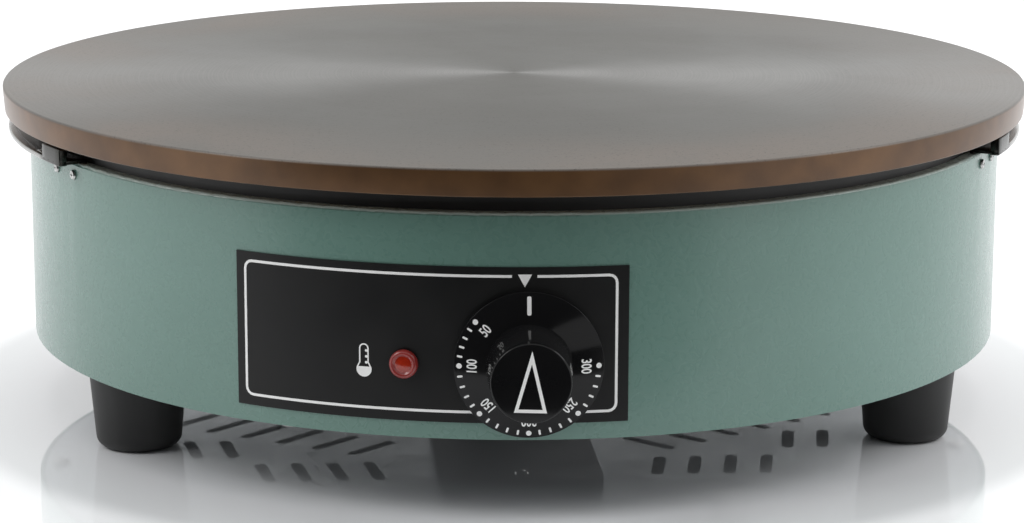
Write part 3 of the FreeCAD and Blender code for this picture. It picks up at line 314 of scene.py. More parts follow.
brown = mix_colors(tree, patches.outputs["Value"], (0.085, 0.042, 0.018), (0.15, 0.075, 0.03))
wire(tree, mix_colors(tree, rim, lined, brown), shader.inputs["Base Color"])
rough = ramp_values(tree, tone.outputs["Value"], 0, 1, 0.43, 0.52)
wire(tree, mix_values(tree, rim, rough, 0.34), shader.inputs["Roughness"])
blend = add(tree, "ShaderNodeMix", data_type="VECTOR")
wire(tree, rim, blend.inputs["Factor"])
wire(tree, marks.outputs["Normal"], blend.inputs["A"])
wire(tree, pores.outputs["Normal"], blend.inputs["B"])
wire(tree, blend.outputs["Result"], shader.inputs["Normal"])
finishes["cast_iron"] = material
print("cast iron ready")

# %% [markdown]
# ## Hammered enamel
# The drum is sprayed with grey-green hammer enamel: a satin gloss over soft ripples. The ripples
# are a warped noise in the normal, which also changes the roughness a little, and the tone varies
# slowly over the surface. A pale band on the drum's upper edge is a painted highlight of its rounding.

# %% Enamel finish
material, tree, shader, place = new_finish("enamel", (0.13, 0.24, 0.2), 0.28)
shader.inputs["Coat Weight"].default_value = 0.3
shader.inputs["Coat Roughness"].default_value = 0.15
ripple = effect(tree, hammered, place, Scale=260.0, Depth=0.00008)
tone = effect(tree, cloudy, place, Scale=9.0)
colour = mix_colors(tree, tone.outputs["Value"], (0.118, 0.225, 0.188), (0.145, 0.262, 0.225))
# Painted highlight: a pale band of colour along the drum's rounded upper edge.
painted_edge_highlight = ramp_values(tree, split_place(tree, place)["Z"], 108.5 * MM, 109.1 * MM, 0, 0.8)
wire(tree, mix_colors(tree, painted_edge_highlight, colour, (0.62, 0.72, 0.68)), shader.inputs["Base Color"])
rough = ramp_values(tree, ripple.outputs["Value"], 0.3, 0.7, 0.26, 0.31)
wire(tree, rough, shader.inputs["Roughness"])
wire(tree, ripple.outputs["Normal"], shader.inputs["Normal"])
finishes["enamel"] = material
print("enamel ready")

# %% [markdown]
# ## Plastics, rubber and prints
# Mouldings differ in colour, in gloss and in the size of their grain. One helper makes them all:
# a colour between two close tones, a roughness that varies a little, and fine grain in the normal.

# %% Plain finishes with tone and grain
def grained_finish(name, dark, light, roughness, scale=1800.0, depth=0.00001, spread=0.06, **more):
    """A finish whose colour and roughness vary slowly and whose skin has fine grain."""
    material, tree, shader, place = new_finish(name, dark, roughness, **more)
    tone = effect(tree, cloudy, place, Scale=45.0)
    skin = effect(tree, grain, place, Scale=scale, Depth=depth)
    wire(tree, mix_colors(tree, tone.outputs["Value"], dark, light), shader.inputs["Base Color"])
    half = spread / 2
    rough = ramp_values(tree, tone.outputs["Value"], 0, 1, roughness - half, roughness + half)
    wire(tree, rough, shader.inputs["Roughness"])
    wire(tree, skin.outputs["Normal"], shader.inputs["Normal"])
    finishes[name] = material
    return material


grained_finish("label_black", (0.006, 0.0062, 0.0065), (0.009, 0.009, 0.009), 0.4,
               scale=2600.0, depth=0.000006, Specular_IOR_Level=0.3)
grained_finish("knob_black", (0.006, 0.006, 0.0065), (0.009, 0.009, 0.0095), 0.1,
               scale=350.0, depth=0.000001, spread=0.03, Specular_IOR_Level=0.25)
grained_finish("foot_black", (0.008, 0.008, 0.008), (0.014, 0.014, 0.014), 0.48,
               scale=2200.0, depth=0.00002)
grained_finish("gland_black", (0.012, 0.012, 0.012), (0.02, 0.02, 0.02), 0.4, scale=2000.0)
grained_finish("phenolic", (0.025, 0.02, 0.017), (0.04, 0.032, 0.027), 0.45)
grained_finish("ceramic", (0.72, 0.69, 0.62), (0.82, 0.8, 0.74), 0.22, scale=700.0)
grained_finish("wire_brown", (0.12, 0.045, 0.018), (0.17, 0.07, 0.03), 0.4)
grained_finish("wire_blue", (0.015, 0.045, 0.22), (0.03, 0.07, 0.3), 0.4)
grained_finish("mineral_wool", (0.5, 0.44, 0.28), (0.66, 0.6, 0.42), 0.9,
               scale=500.0, depth=0.0006)
# Painted shade: this near-black sheet on the ring and pan lip fills the shaded gap under the plate.
grained_finish("black_sheet", (0.009, 0.009, 0.009), (0.016, 0.016, 0.016), 0.5,
               scale=1500.0, depth=0.00002)
white_ink = grained_finish("white_ink", (0.93, 0.94, 0.93), (0.97, 0.97, 0.96), 0.45,
                           scale=3000.0, depth=0.000004)
print(f"{len(finishes)} finishes so far")

# %% [markdown]
# ## Metals
# Sheet, screws, grips and heater sheaths are all metal. Rolled sheet carries fine lines along its
# rolling direction, which is the same grain effect on a place that is stretched along X. The
# grips are bright only along the outside of the bar; their ends and inside are painted dark, as
# painted shade and painted reflection of the plate's dark underside.

# %% Metals
def metal_finish(name, dark, light, roughness, stretch=(1, 1, 1), scale=900.0, depth=0.000008):
    """A bare metal whose grain may be drawn out along one direction."""
    material, tree, shader, place = new_finish(name, light, roughness, 1.0)
    drawn = add(tree, "ShaderNodeMapping", vector_type="POINT")
    drawn.inputs["Scale"].default_value = stretch
    wire(tree, place, drawn.inputs["Vector"])
    lines = effect(tree, grain, drawn.outputs["Vector"], Scale=scale, Depth=depth)
    tone = effect(tree, cloudy, place, Scale=35.0)
    first = mix_colors(tree, tone.outputs["Value"], dark, light)
    dull_grain_and_painted_shade = ramp_values(tree, lines.outputs["Value"], 0.3, 0.7, 0.0, 0.35)
    wire(tree, mix_colors(tree, dull_grain_and_painted_shade, first, dark), shader.inputs["Base Color"])
    rough = ramp_values(tree, tone.outputs["Value"], 0, 1, roughness - 0.06, roughness + 0.06)
    wire(tree, rough, shader.inputs["Roughness"])
    wire(tree, lines.outputs["Normal"], shader.inputs["Normal"])
    finishes[name] = material
    return tree, shader, place


metal_finish("zinc_sheet", (0.36, 0.38, 0.39), (0.52, 0.54, 0.55), 0.42, stretch=(0.06, 1, 1))
metal_finish("steel", (0.42, 0.42, 0.41), (0.6, 0.6, 0.59), 0.28)
metal_finish("element_steel", (0.11, 0.1, 0.095), (0.2, 0.17, 0.15), 0.45)
metal_finish("copper", (0.5, 0.22, 0.12), (0.72, 0.38, 0.22), 0.3)
print(f"{len(finishes)} finishes so far")

# %% Grip steel, with painted shade at its ends and inside
tree, shader, place = metal_finish("grip_steel", (0.3, 0.3, 0.29), (0.45, 0.45, 0.44), 0.24,
                                   scale=1300.0, depth=0.000004)
# Painted shade and painted reflection: the end tabs and the inner part of each grip get a dark colour.
along = join_values(tree, "ABSOLUTE", split_place(tree, place)["Y"])
painted_shade_ends = ramp_values(tree, along, 78 * MM, 84 * MM)
inside = ramp_values(tree, axis_distance(tree, place), 195 * MM, 196 * MM, 1, 0)
dull_grain_and_painted_shade = join_values(tree, "MAXIMUM", painted_shade_ends, inside)
bright = shader.inputs["Base Color"].links[0].from_socket
wire(tree, mix_colors(tree, dull_grain_and_painted_shade, bright, (0.06, 0.06, 0.056)), shader.inputs["Base Color"])
print("grip steel ready")

# %% [markdown]
# ## Earth wire and pilot lamp
# The earth wire is green with a yellow stripe. The pilot lamp is a clear red plastic that glows
# faintly. Its rim has a duller red than its middle, and the rim's pinker tint is painted reflection.

# %% Striped earth wire
material, tree, shader, place = new_finish("wire_green", (0.03, 0.2, 0.03), 0.4)
stripes = add(tree, "ShaderNodeTexWave", bands_direction="DIAGONAL")
stripes.inputs["Scale"].default_value = 60.0
stripes.inputs["Distortion"].default_value = 0.6
wire(tree, place, stripes.inputs["Vector"])
yellow = ramp_values(tree, stripes.outputs["Fac"], 0.45, 0.55)
wire(tree, mix_colors(tree, yellow, (0.03, 0.2, 0.03), (0.7, 0.6, 0.04)), shader.inputs["Base Color"])
finishes["wire_green"] = material
print("earth wire ready")


# %% Two reds of the pilot lamp
def red_finish(name, dark, light, glow_color, roughness):
    """A clear red plastic that glows a little and is cloudy inside."""
    material, tree, shader, place = new_finish(name, dark, roughness, Coat_Weight=0.5)
    shader.inputs["Emission Strength"].default_value = 0.1
    shader.inputs["Emission Color"].default_value = (*glow_color, 1)
    cloud = effect(tree, cloudy, place, Scale=300.0)
    wire(tree, mix_colors(tree, cloud.outputs["Value"], dark, light), shader.inputs["Base Color"])
    skin = effect(tree, grain, place, Scale=900.0, Depth=0.00001)
    wire(tree, skin.outputs["Normal"], shader.inputs["Normal"])
    finishes[name] = material


# Painted reflection: the rim's red is pinker than the middle's, standing in for light on the rounded
# rim.
red_finish("lamp_red", (0.19, 0.016, 0.014), (0.25, 0.03, 0.026), (0.3, 0.02, 0.02), 0.3)
red_finish("lamp_core", (0.2, 0.008, 0.003), (0.28, 0.018, 0.005), (0.5, 0.03, 0.004), 0.16)
print(f"{len(finishes)} finishes in all")

# %% [markdown]
# ## Dressing the nodes
# Each node of the frame names the slot that it takes its finish from, so one loop gives every
# sheet, screw and wire its material, inside the drum as well as outside.

# %% Dress the nodes
slot_of = {part["node"]: part["material_slot"] for part in frame["record"]["subparts"]}
for name, item in nodes.items():
    item.data.materials.clear()
    item.data.materials.append(finishes[slot_of[name]])
print(f"{len(slot_of)} nodes dressed")

# %% [markdown]
# ## Studio
# The object stands on a pale floor against pure white. Close to the object the floor is polished
# and mirrors the underside, and its colour is darker there as painted shadow. Further out it
# mirrors less and glows faintly as painted light, so that it stays white.
# Its front edge is near, because the drum and the knob mirror the dark front of the world beyond.
# The light is soft and comes mostly from both sides and from behind, so the drum is darkest in
# the middle of its front. A world whose brightness depends on the direction does that. Three
# large soft lamps give the long sheen on the plate, and a low one lights the knob's skirt.

# %% Floor
FLOOR_REACH = 6.0
FLOOR_FRONT = -0.33
bm = bmesh.new()
bmesh.ops.create_grid(bm, x_segments=1, y_segments=1, size=FLOOR_REACH)
near = [vert for vert in bm.verts if vert.co.y < 0]
bmesh.ops.translate(bm, verts=near, vec=(0, FLOOR_REACH + FLOOR_FRONT, 0))
mesh = bpy.data.meshes.new("floor")
bm.to_mesh(mesh)
bm.free()
floor = bpy.data.objects.new("floor", mesh)
bpy.context.scene.collection.objects.link(floor)
material, tree, shader, place = new_finish(
    "floor_white", (0.95, 0.96, 0.98), 0.03, IOR=1.6, Coat_IOR=2.1)
distance = axis_distance(tree, place)
# Painted shadow: the same mask that polishes the floor near the object also darkens its colour there.
polished_and_painted_shadow = ramp_values(tree, distance, 135 * MM, 190 * MM, 1, 0)
wire(tree, polished_and_painted_shadow, shader.inputs["Coat Weight"])
floor_color_with_painted_shadow = mix_colors(tree, polished_and_painted_shadow, (0.95, 0.96, 0.98), (0.6, 0.61, 0.62))
wire(tree, floor_color_with_painted_shadow, shader.inputs["Base Color"])
shader.inputs["Emission Strength"].default_value = 0.2
# Painted light: beyond the object's shadow the floor glows faintly so that it stays white.
painted_glow = ramp_values(tree, distance, 217 * MM, 235 * MM)
wire(tree, mix_colors(tree, painted_glow, (0, 0, 0), (1, 1, 1)), shader.inputs["Emission Color"])
mesh.materials.append(material)
print(f"floor from {FLOOR_FRONT} to {FLOOR_REACH} m")

# %% World
DARK_AZIMUTH = math.radians(-10)
DARK_LIGHT, SIDE_LIGHT, TOP_LIGHT = 0.03, 1.25, 1.0
REAR_LEFT_LIGHT, REAR_RIGHT_LIGHT = 1.1, 1.6
BACKDROP_LIGHT = 1.6

world = bpy.data.worlds.new("studio")
world.use_nodes = True
bpy.context.scene.world = world
tree = world.node_tree
tree.nodes.clear()
direction = add(tree, "ShaderNodeTexCoord").outputs["Generated"]
axes = split_place(tree, direction)
dark_side = add(tree, "ShaderNodeVectorMath", operation="DOT_PRODUCT")
wire(tree, direction, dark_side.inputs[0])
dark_side.inputs[1].default_value = (math.sin(DARK_AZIMUTH), -math.cos(DARK_AZIMUTH), 0)
in_front = ramp_values(tree, dark_side.outputs["Value"], 0.5, 0.77)
behind = ramp_values(tree, axes["Y"], 0.3, 0.9)
overhead = ramp_values(tree, axes["Z"], 0.3, 0.6)
beside = ramp_values(tree, join_values(tree, "ABSOLUTE", axes["X"]), 0.5, 0.8)
to_right = ramp_values(tree, axes["X"], -0.5, 0.5)
rear_light = mix_values(tree, to_right, REAR_LEFT_LIGHT, REAR_RIGHT_LIGHT)
brightness = mix_values(tree, behind, SIDE_LIGHT, rear_light)
brightness = mix_values(tree, overhead, brightness, TOP_LIGHT)
brightness = mix_values(tree, beside, brightness, SIDE_LIGHT)
brightness = mix_values(tree, in_front, brightness, DARK_LIGHT)
seen = add(tree, "ShaderNodeLightPath").outputs["Is Camera Ray"]
sky = add(tree, "ShaderNodeBackground")
wire(tree, mix_values(tree, seen, brightness, BACKDROP_LIGHT), sky.inputs["Strength"])
wire(tree, sky.outputs[0], add(tree, "ShaderNodeOutputWorld").inputs["Surface"])
print("world ready")


# %% Soft lamps
def soft_lamp(name, place, target, width, height, power):
    """A rectangular soft lamp that points at a spot."""
    data = bpy.data.lights.new(name, "AREA")
    data.shape = "RECTANGLE"
    data.size = width
    data.size_y = height
    data.energy = power
    lamp = bpy.data.objects.new(name, data)
    lamp.location = place
    lamp.rotation_euler = (Vector(target) - Vector(place)).to_track_quat("-Z", "Y").to_euler()
    bpy.context.scene.collection.objects.link(lamp)


soft_lamp("lamp_left", (-1.5, -0.5, 1.3), (0, 0, 0.08), 0.8, 0.8, 9)
soft_lamp("lamp_right", (1.6, -0.3, 1.2), (0, 0, 0.08), 0.8, 0.8, 8)
soft_lamp("lamp_top", (0.1, 0.9, 1.8), (0, 0, 0.1), 1.4, 0.8, 8)
soft_lamp("lamp_knob", (0.56, -1.42, 0.12), (0, -0.2, 0.06), 0.6, 0.36, 0.5)
print("four soft lamps")

# %% [markdown]
# ## Helpers for pieces
# Round pieces are turned: a profile in the XZ plane is spun about Z, and chosen rings are bevelled.
# A piece that faces outwards from the drum is made flat or turned about Z first, and a matrix then
# stands it up at its azimuth. A solid piece is closed and a print is a flat sheet. Every piece has
# its normals outwards, is shaded smooth between its sharp edges, and rides on its body.

# %% Piece helpers
NEAR = 0.01 * MM


def lathe(profile, steps=128):
    """Spins a profile of (radius, height) pairs in millimetres about Z."""
    bm = bmesh.new()
    verts = [bm.verts.new((radius * MM, 0, height * MM)) for radius, height in profile]
    edges = [bm.edges.new(pair) for pair in zip(verts, verts[1:] + verts[:1])
             if pair[0].co.xy.length > 0 or pair[1].co.xy.length > 0]
    bmesh.ops.spin(bm, geom=verts + edges, cent=(0, 0, 0), axis=(0, 0, 1),
                   angle=math.radians(360), steps=steps, use_merge=True)
    bmesh.ops.remove_doubles(bm, verts=bm.verts, dist=0.001 * MM)
    return bm


def bevel_rings(bm, rings, segments=4):
    """Bevels the ring edges at given (radius, height, width) in millimetres."""
    for radius, height, width in rings:
        chosen = [
            edge for edge in bm.edges
            if all(abs(vert.co.z - height * MM) < NEAR
                   and abs(vert.co.xy.length - radius * MM) < NEAR for vert in edge.verts)
        ]
        bmesh.ops.bevel(bm, geom=chosen, offset=width * MM, offset_type="OFFSET", segments=segments,
                        profile=0.5, affect="EDGES", material=-1)


def move(bm, matrix):
    """Moves and turns everything in a bmesh."""
    bmesh.ops.transform(bm, matrix=matrix, verts=bm.verts)


def facing(azimuth, ring, height):
    """The matrix that stands a flat piece up, facing outwards: x right, y up, z outwards."""
    angle = math.radians(azimuth)
    outward = Vector((math.sin(angle), -math.cos(angle), 0))
    right = Vector((math.cos(angle), math.sin(angle), 0))
    spot = outward * ring * MM + Vector((0, 0, height * MM))
    turn = Matrix((right, Vector((0, 0, 1)), outward)).transposed().to_4x4()
    return Matrix.Translation(spot) @ turn


def finish_piece(bm, name, slot, body="base", look=None, sharp=32, fix=True):
    """Makes an object of a bmesh, merges its seams, and lets it ride on its body."""
    bmesh.ops.remove_doubles(bm, verts=bm.verts, dist=0.0005 * MM)
    if fix:
        bmesh.ops.recalc_face_normals(bm, faces=bm.faces)
    mesh = bpy.data.meshes.new(name)
    bm.to_mesh(mesh)
    bm.free()
    mesh.shade_smooth()
    mesh.set_sharp_from_angle(angle=math.radians(sharp))
    mesh.materials.append(look or finishes[slot])
    piece = bpy.data.objects.new(name, mesh)
    bpy.context.scene.collection.objects.link(piece)
    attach(piece, body)
    print(f"{name}: {len(mesh.polygons)} faces")
    return piece


def evaluated_mesh(item):
    """A new mesh of an object as it is after its modifiers or its text."""
    depsgraph = bpy.context.evaluated_depsgraph_get()
    return bpy.data.meshes.new_from_object(item.evaluated_get(depsgraph))


def join_into(target, source):
    """Adds a second bmesh to a first one."""
    mesh = bpy.data.meshes.new("joining")
    source.to_mesh(mesh)
    source.free()
    target.from_mesh(mesh)
    bpy.data.meshes.remove(mesh)


# %% [markdown]
# ## Griddle plate
# The real plate is cast and turned: its rim tapers inwards below, its upper edge is rounded by
# use and its lower edge is barely broken. A turned profile with bevelled rings gives all three.

# %% Griddle plate
RIM_UNDER, RIM_FOOT = 116.9, 199.3
HUB_UNDER, HUB_RADIUS = 112.7, 172
plate = lathe([(0, HUB_UNDER), (HUB_RADIUS, HUB_UNDER), (HUB_RADIUS, RIM_UNDER), (RIM_FOOT, RIM_UNDER),
               (PLATE_RADIUS, PLATE_TOP), (0, PLATE_TOP)], steps=192)
bevel_rings(plate, [(PLATE_RADIUS, PLATE_TOP, 1.0), (RIM_FOOT, RIM_UNDER, 0.5),
                    (HUB_RADIUS, HUB_UNDER, 0.8)])
plate = finish_piece(plate, "plate_iron", "cast_iron")
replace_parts(plate, "griddle_plate")

# %% [markdown]
# ## Grips
# Each grip is a bar of bright steel bent round the drum, with a thin web at its inside. Each is
# turned through part of a circle, its ends are closed, and all its long edges are rounded. At each
# end a tab stands up, and a bridge and a leg go over the drum's edge and down inside it. They are
# made in the same way from their own sections.

# %% Grips
def curved_bar(low, high, inner, outer, azimuth, half_angle, rounding):
    """A bar bent round the axis between two radii and two heights, with rounded edges."""
    bm = bmesh.new()
    corners = [(inner, low), (outer, low), (outer, high), (inner, high)]
    verts = [bm.verts.new((radius * MM, 0, height * MM)) for radius, height in corners]
    face = bm.faces.new(verts)
    first = math.radians(azimuth - 90 - half_angle)
    bmesh.ops.rotate(bm, verts=verts, cent=(0, 0, 0), matrix=Matrix.Rotation(first, 3, "Z"))
    steps = max(4, int(half_angle * 1.5))
    bmesh.ops.spin(bm, geom=[face], cent=(0, 0, 0), axis=(0, 0, 1),
                   angle=math.radians(2 * half_angle), steps=steps)
    bmesh.ops.recalc_face_normals(bm, faces=bm.faces)
    sharp = [edge for edge in bm.edges
             if edge.is_manifold and edge.calc_face_angle() > math.radians(40)]
    bmesh.ops.bevel(bm, geom=sharp, offset=rounding * MM, offset_type="OFFSET", segments=3,
                    profile=0.5, affect="EDGES", material=-1)
    return bm


BAR_INNER, BAR_OUTER = 194.6, 198
GRIP_SEAT, BRIDGE_TOP = 109.7, 111.3
GRIP_HALF_ANGLE = 29
TAB_AT, TAB_HALF_ANGLE = 26.7, 2.3
LEG_AT, LEG_HALF_ANGLE = 25.1, 3.9
LEG_INNER, LEG_OUTER = 186.8, 188.4


def grip(name, azimuth):
    """A grip with its bar, its web, its end tabs, its bridges and its legs."""
    whole = curved_bar(109.3, 111.1, BAR_INNER, BAR_OUTER, azimuth, GRIP_HALF_ANGLE, 0.5)
    join_into(whole, curved_bar(GRIP_SEAT, 110.5, 188.5, 196.3, azimuth, GRIP_HALF_ANGLE, 0.15))
    for side in (-1, 1):
        tab = azimuth + side * TAB_AT
        leg = azimuth + side * LEG_AT
        join_into(whole, curved_bar(GRIP_SEAT, 115.7, BAR_INNER, BAR_OUTER, tab, TAB_HALF_ANGLE, 0.5))
        join_into(whole, curved_bar(GRIP_SEAT, BRIDGE_TOP, LEG_INNER, 196.3, leg, LEG_HALF_ANGLE, 0.3))
        join_into(whole, curved_bar(98.5, BRIDGE_TOP, LEG_INNER, LEG_OUTER, leg, LEG_HALF_ANGLE, 0.3))
    piece = finish_piece(whole, f"{name}_steel", "grip_steel", fix=False)
    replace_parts(piece, name)


grip("grip_right", 90)
grip("grip_left", -90)

# %% [markdown]
# ## Screws
# All the screws that can be seen have a domed head with a cross recess. The head is turned, and a
# cross of two tapered bars is cut out of it once. The same mesh then serves every screw of a size,
# stood up or laid down by a matrix.

# %% Screws
def bar_mesh(length, width, depth):
    """A bar that narrows downwards, for one arm of the cross."""
    bm = bmesh.new()
    bmesh.ops.create_cube(bm, size=1.0)
    bmesh.ops.scale(bm, verts=bm.verts, vec=(length, width, depth))
    low = [vert for vert in bm.verts if vert.co.z < 0]
    bmesh.ops.scale(bm, verts=low, vec=(0.6, 0.6, 1))
    return bm


def cross_screw(diameter, head_height, reach):
    """A screw that points down from its head, with the head's underside at z = 0."""
    head = diameter * 0.93
    shank = diameter / 2
    turned_screw = lathe([(0, -reach), (shank - 0.2, -reach), (shank, -reach + 0.3), (shank, 0),
                          (head, 0), (head, head_height * 0.35), (head * 0.8, head_height * 0.85),
                          (head * 0.4, head_height), (0, head_height)], steps=40)
    bmesh.ops.recalc_face_normals(turned_screw, faces=turned_screw.faces)
    body_mesh = bpy.data.meshes.new("screw")
    turned_screw.to_mesh(body_mesh)
    turned_screw.free()
    body = bpy.data.objects.new("screw", body_mesh)
    cross = bar_mesh(head * 1.1 * MM, head * 0.24 * MM, head_height * MM)
    second = bar_mesh(head * 0.24 * MM, head * 1.1 * MM, head_height * MM)
    join_into(cross, second)
    bmesh.ops.translate(cross, verts=cross.verts, vec=(0, 0, head_height * 0.95 * MM))
    cutter_mesh = bpy.data.meshes.new("cross")
    cross.to_mesh(cutter_mesh)
    cross.free()
    cutter = bpy.data.objects.new("cross", cutter_mesh)
    for item in (body, cutter):
        bpy.context.scene.collection.objects.link(item)
    cut = body.modifiers.new("recess", "BOOLEAN")
    cut.object = cutter
    cut.operation = "DIFFERENCE"
    cut.use_self = True
    shape = evaluated_mesh(body)
    for item in (body, cutter):
        bpy.data.objects.remove(item)
    return shape


def place_screws(name, node, shape, places):
    """One piece with a copy of the screw at each place, which stands for a node."""
    whole = bmesh.new()
    for place in places:
        copy = shape.copy()
        copy.transform(place)
        whole.from_mesh(copy)
        bpy.data.meshes.remove(copy)
    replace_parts(finish_piece(whole, name, "steel", sharp=28, fix=False), node)


def from_below(azimuth, ring, height):
    """The matrix of a screw that is driven upwards."""
    angle = math.radians(azimuth)
    spot = Vector((ring * math.sin(angle), -ring * math.cos(angle), height)) * MM
    return Matrix.Translation(spot) @ Matrix.Rotation(math.pi, 4, "X")


# %% Place the screws
DRUM_BOTTOM, COVER_BOTTOM = 30, 26
base_spots = [from_below(30 + 60 * index, 182.25, DRUM_BOTTOM) for index in range(6)]
place_screws("base_screws_steel", "base_screws", cross_screw(4, 2.2, 4.2), base_spots)
cover_spots = [from_below(0, -3 - side * 47, COVER_BOTTOM) for side in (-1, 1)]
place_screws("cover_screws_steel", "cover_screws", cross_screw(3, 1.65, 7.6), cover_spots)
foot_spots = [from_below(58.5 + 120 * index, 167.5, 17) for index in range(3)]
place_screws("foot_screws_steel", "foot_screws", cross_screw(5, 2.75, 19.2), foot_spots)
grip_spots = [facing(side * 90 + end * angle, 190.1, 104.9)
              for side in (-1, 1) for end in (-1, 1) for angle in (27.6, 22.8)]
place_screws("grip_screws_steel", "grip_screws", cross_screw(2, 1.1, 5.8), grip_spots)

# %% [markdown]
# ## Knob
# The knob is one glossy moulding: a wide thin skirt that carries the dial, and a boss to turn it
# by. It is turned about Z with its face up and then laid down to face outwards. Its edges are
# rounded enough to catch the lamps as thin highlights.

# %% Knob
KNOB_AZIMUTH, KNOB_BACK, KNOB_HEIGHT = -2.9, 191, 57.2
SKIRT_RADIUS, SKIRT_EDGE = 25.7, 1.6
BOSS_RADIUS, BOSS_FOOT = 15, 4.2
FACE_RADIUS, KNOB_FRONT = 13.8, 26.5
knob_place = facing(KNOB_AZIMUTH, KNOB_BACK, KNOB_HEIGHT)

knob = lathe([(0, 15), (3.05, 15), (3.05, 0), (5, 0), (5, 23), (11.5, 23), (11.5, 1.4), (20, 1.4),
              (20, 0), (SKIRT_RADIUS, 0), (SKIRT_RADIUS, SKIRT_EDGE), (BOSS_RADIUS, BOSS_FOOT),
              (FACE_RADIUS, KNOB_FRONT), (0, KNOB_FRONT)])
bevel_rings(knob, [(SKIRT_RADIUS, SKIRT_EDGE, 0.12), (FACE_RADIUS, KNOB_FRONT, 0.7)], segments=5)
move(knob, knob_place)
knob = finish_piece(knob, "knob_moulding", "knob_black", body="knob")
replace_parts(knob, "knob")

# %% [markdown]
# ## Dial
# The dial's marks are printed on the skirt's slope. Each mark is drawn flat in the dial's plane
# and then dropped onto the slope by its distance from the axis. Numbers are text turned into mesh,
# with their tops outwards, and the larger dots stand beside them.

# %% Dial helpers
INK = 0.03


def skirt_height(radius):
    """How far the skirt's slope stands in front of the knob's back, in millimetres."""
    rise = (BOSS_FOOT - SKIRT_EDGE) / (SKIRT_RADIUS - BOSS_RADIUS)
    return SKIRT_EDGE + (SKIRT_RADIUS - radius) * rise + INK


def drop_on_skirt(bm):
    """Lifts flat marks onto the slope of the skirt."""
    for vert in bm.verts:
        vert.co.z = skirt_height(vert.co.xy.length / MM) * MM


def rounded_mark(width, height, rounding):
    """A flat rectangle with round corners, in millimetres."""
    bm = bmesh.new()
    bmesh.ops.create_grid(bm, x_segments=1, y_segments=1, size=0.5)
    bmesh.ops.scale(bm, verts=bm.verts, vec=(width * MM, height * MM, 1))
    bmesh.ops.bevel(bm, geom=bm.verts, offset=rounding * MM, offset_type="OFFSET", segments=4,
                    profile=0.5, affect="VERTICES", material=-1)
    return bm


def disc_mark(radius, segments):
    """A flat disc, in millimetres."""
    bm = bmesh.new()
    bmesh.ops.create_circle(bm, cap_ends=True, segments=segments, radius=radius * MM)
    return bm


def hollow_out(bm, width):
    """Leaves only a line of a given width along the outline of a flat drawing."""
    bm.normal_update()
    line = bmesh.ops.inset_region(bm, faces=bm.faces[:], thickness=width * MM, use_boundary=True,
                                  use_even_offset=True)["faces"]
    inside = [face for face in bm.faces if face not in line]
    bmesh.ops.delete(bm, geom=inside, context="FACES_ONLY")


def cut_across(bm, spot, direction, **more):
    """Cuts a flat drawing along a line through a spot, and may clear one side of it."""
    everything = bm.verts[:] + bm.edges[:] + bm.faces[:]
    bmesh.ops.bisect_plane(bm, geom=everything, plane_co=spot, plane_no=direction, **more)


def dial_turn(angle, radius):
    """The matrix of a mark on the dial, at an angle to the left of the top."""
    return Matrix.Rotation(math.radians(angle), 4, "Z") @ Matrix.Translation((0, radius * MM, 0))


def text_mark(words, height, squeeze):
    """Figures as a flat mesh, centred, with a given height in millimetres."""
    curve = bpy.data.curves.new("figures", "FONT")
    curve.body = words
    curve.align_x = "CENTER"
    curve.align_y = "CENTER"
    curve.offset = 0.02
    holder = bpy.data.objects.new("figures", curve)
    bpy.context.scene.collection.objects.link(holder)
    shape = evaluated_mesh(holder)
    bpy.data.objects.remove(holder)
    bm = bmesh.new()
    bm.from_mesh(shape)
    top = max(vert.co.y for vert in bm.verts)
    low = min(vert.co.y for vert in bm.verts)
    bmesh.ops.translate(bm, verts=bm.verts, vec=(0, -(top + low) / 2, 0))
    size = height * MM / (top - low)
    bmesh.ops.scale(bm, verts=bm.verts, vec=(size * squeeze, size, 1))
    return bm


# %% Dial marks
STOPS = {50: 50, 100: 90, 150: 135, 200: 180, 250: 225, 300: 270}
DOT_RING, FIGURE_RING, BAR_RING = 23.9, 19.6, 21.1
dial = rounded_mark(1.45, 6.3, 0.5)
move(dial, dial_turn(0, BAR_RING))
angles = list(STOPS.values())
for number, angle in STOPS.items():
    dot = disc_mark(0.95, 20)
    move(dot, dial_turn(angle, DOT_RING))
    join_into(dial, dot)
    figures = text_mark(str(number), 3.6, 0.72)
    move(figures, dial_turn(angle, FIGURE_RING))
    join_into(dial, figures)
for first, last in zip(angles, angles[1:]):
    for index in range(1, 5):
        tick = rounded_mark(0.75, 1.9, 0.3)
        move(tick, dial_turn(first + (last - first) * index / 5, DOT_RING))
        join_into(dial, tick)
drop_on_skirt(dial)
move(dial, knob_place)
finish_piece(dial, "dial_print", None, body="knob", look=white_ink, fix=False)

# %% Pointer on the boss
pointer = bmesh.new()
corners = [pointer.verts.new((x * MM, y * MM, 0)) for x, y in ((-5.55, -10), (5.55, -10), (0, 11.4))]
pointer.faces.new(corners)
hollow_out(pointer, 1.15)
move(pointer, Matrix.Rotation(math.radians(-1.5), 4, "Z"))
move(pointer, Matrix.Translation((0, 0, (KNOB_FRONT + INK) * MM)))
move(pointer, knob_place)
finish_piece(pointer, "pointer_print", None, body="knob", look=white_ink, fix=False)

# %% [markdown]
# ## Prints on the label
# The label has a thin white frame, a filled pointer above the knob and a small thermometer. They
# are drawn flat, with x as the arc length round the drum and y as the height, cut across every
# few millimetres so that they can bend, and then laid on the label's curve.

# %% Label helpers
LABEL_RADIUS = 190.45


def arc_length(azimuth):
    """How far round the label an azimuth is, in millimetres."""
    return math.radians(azimuth) * LABEL_RADIUS


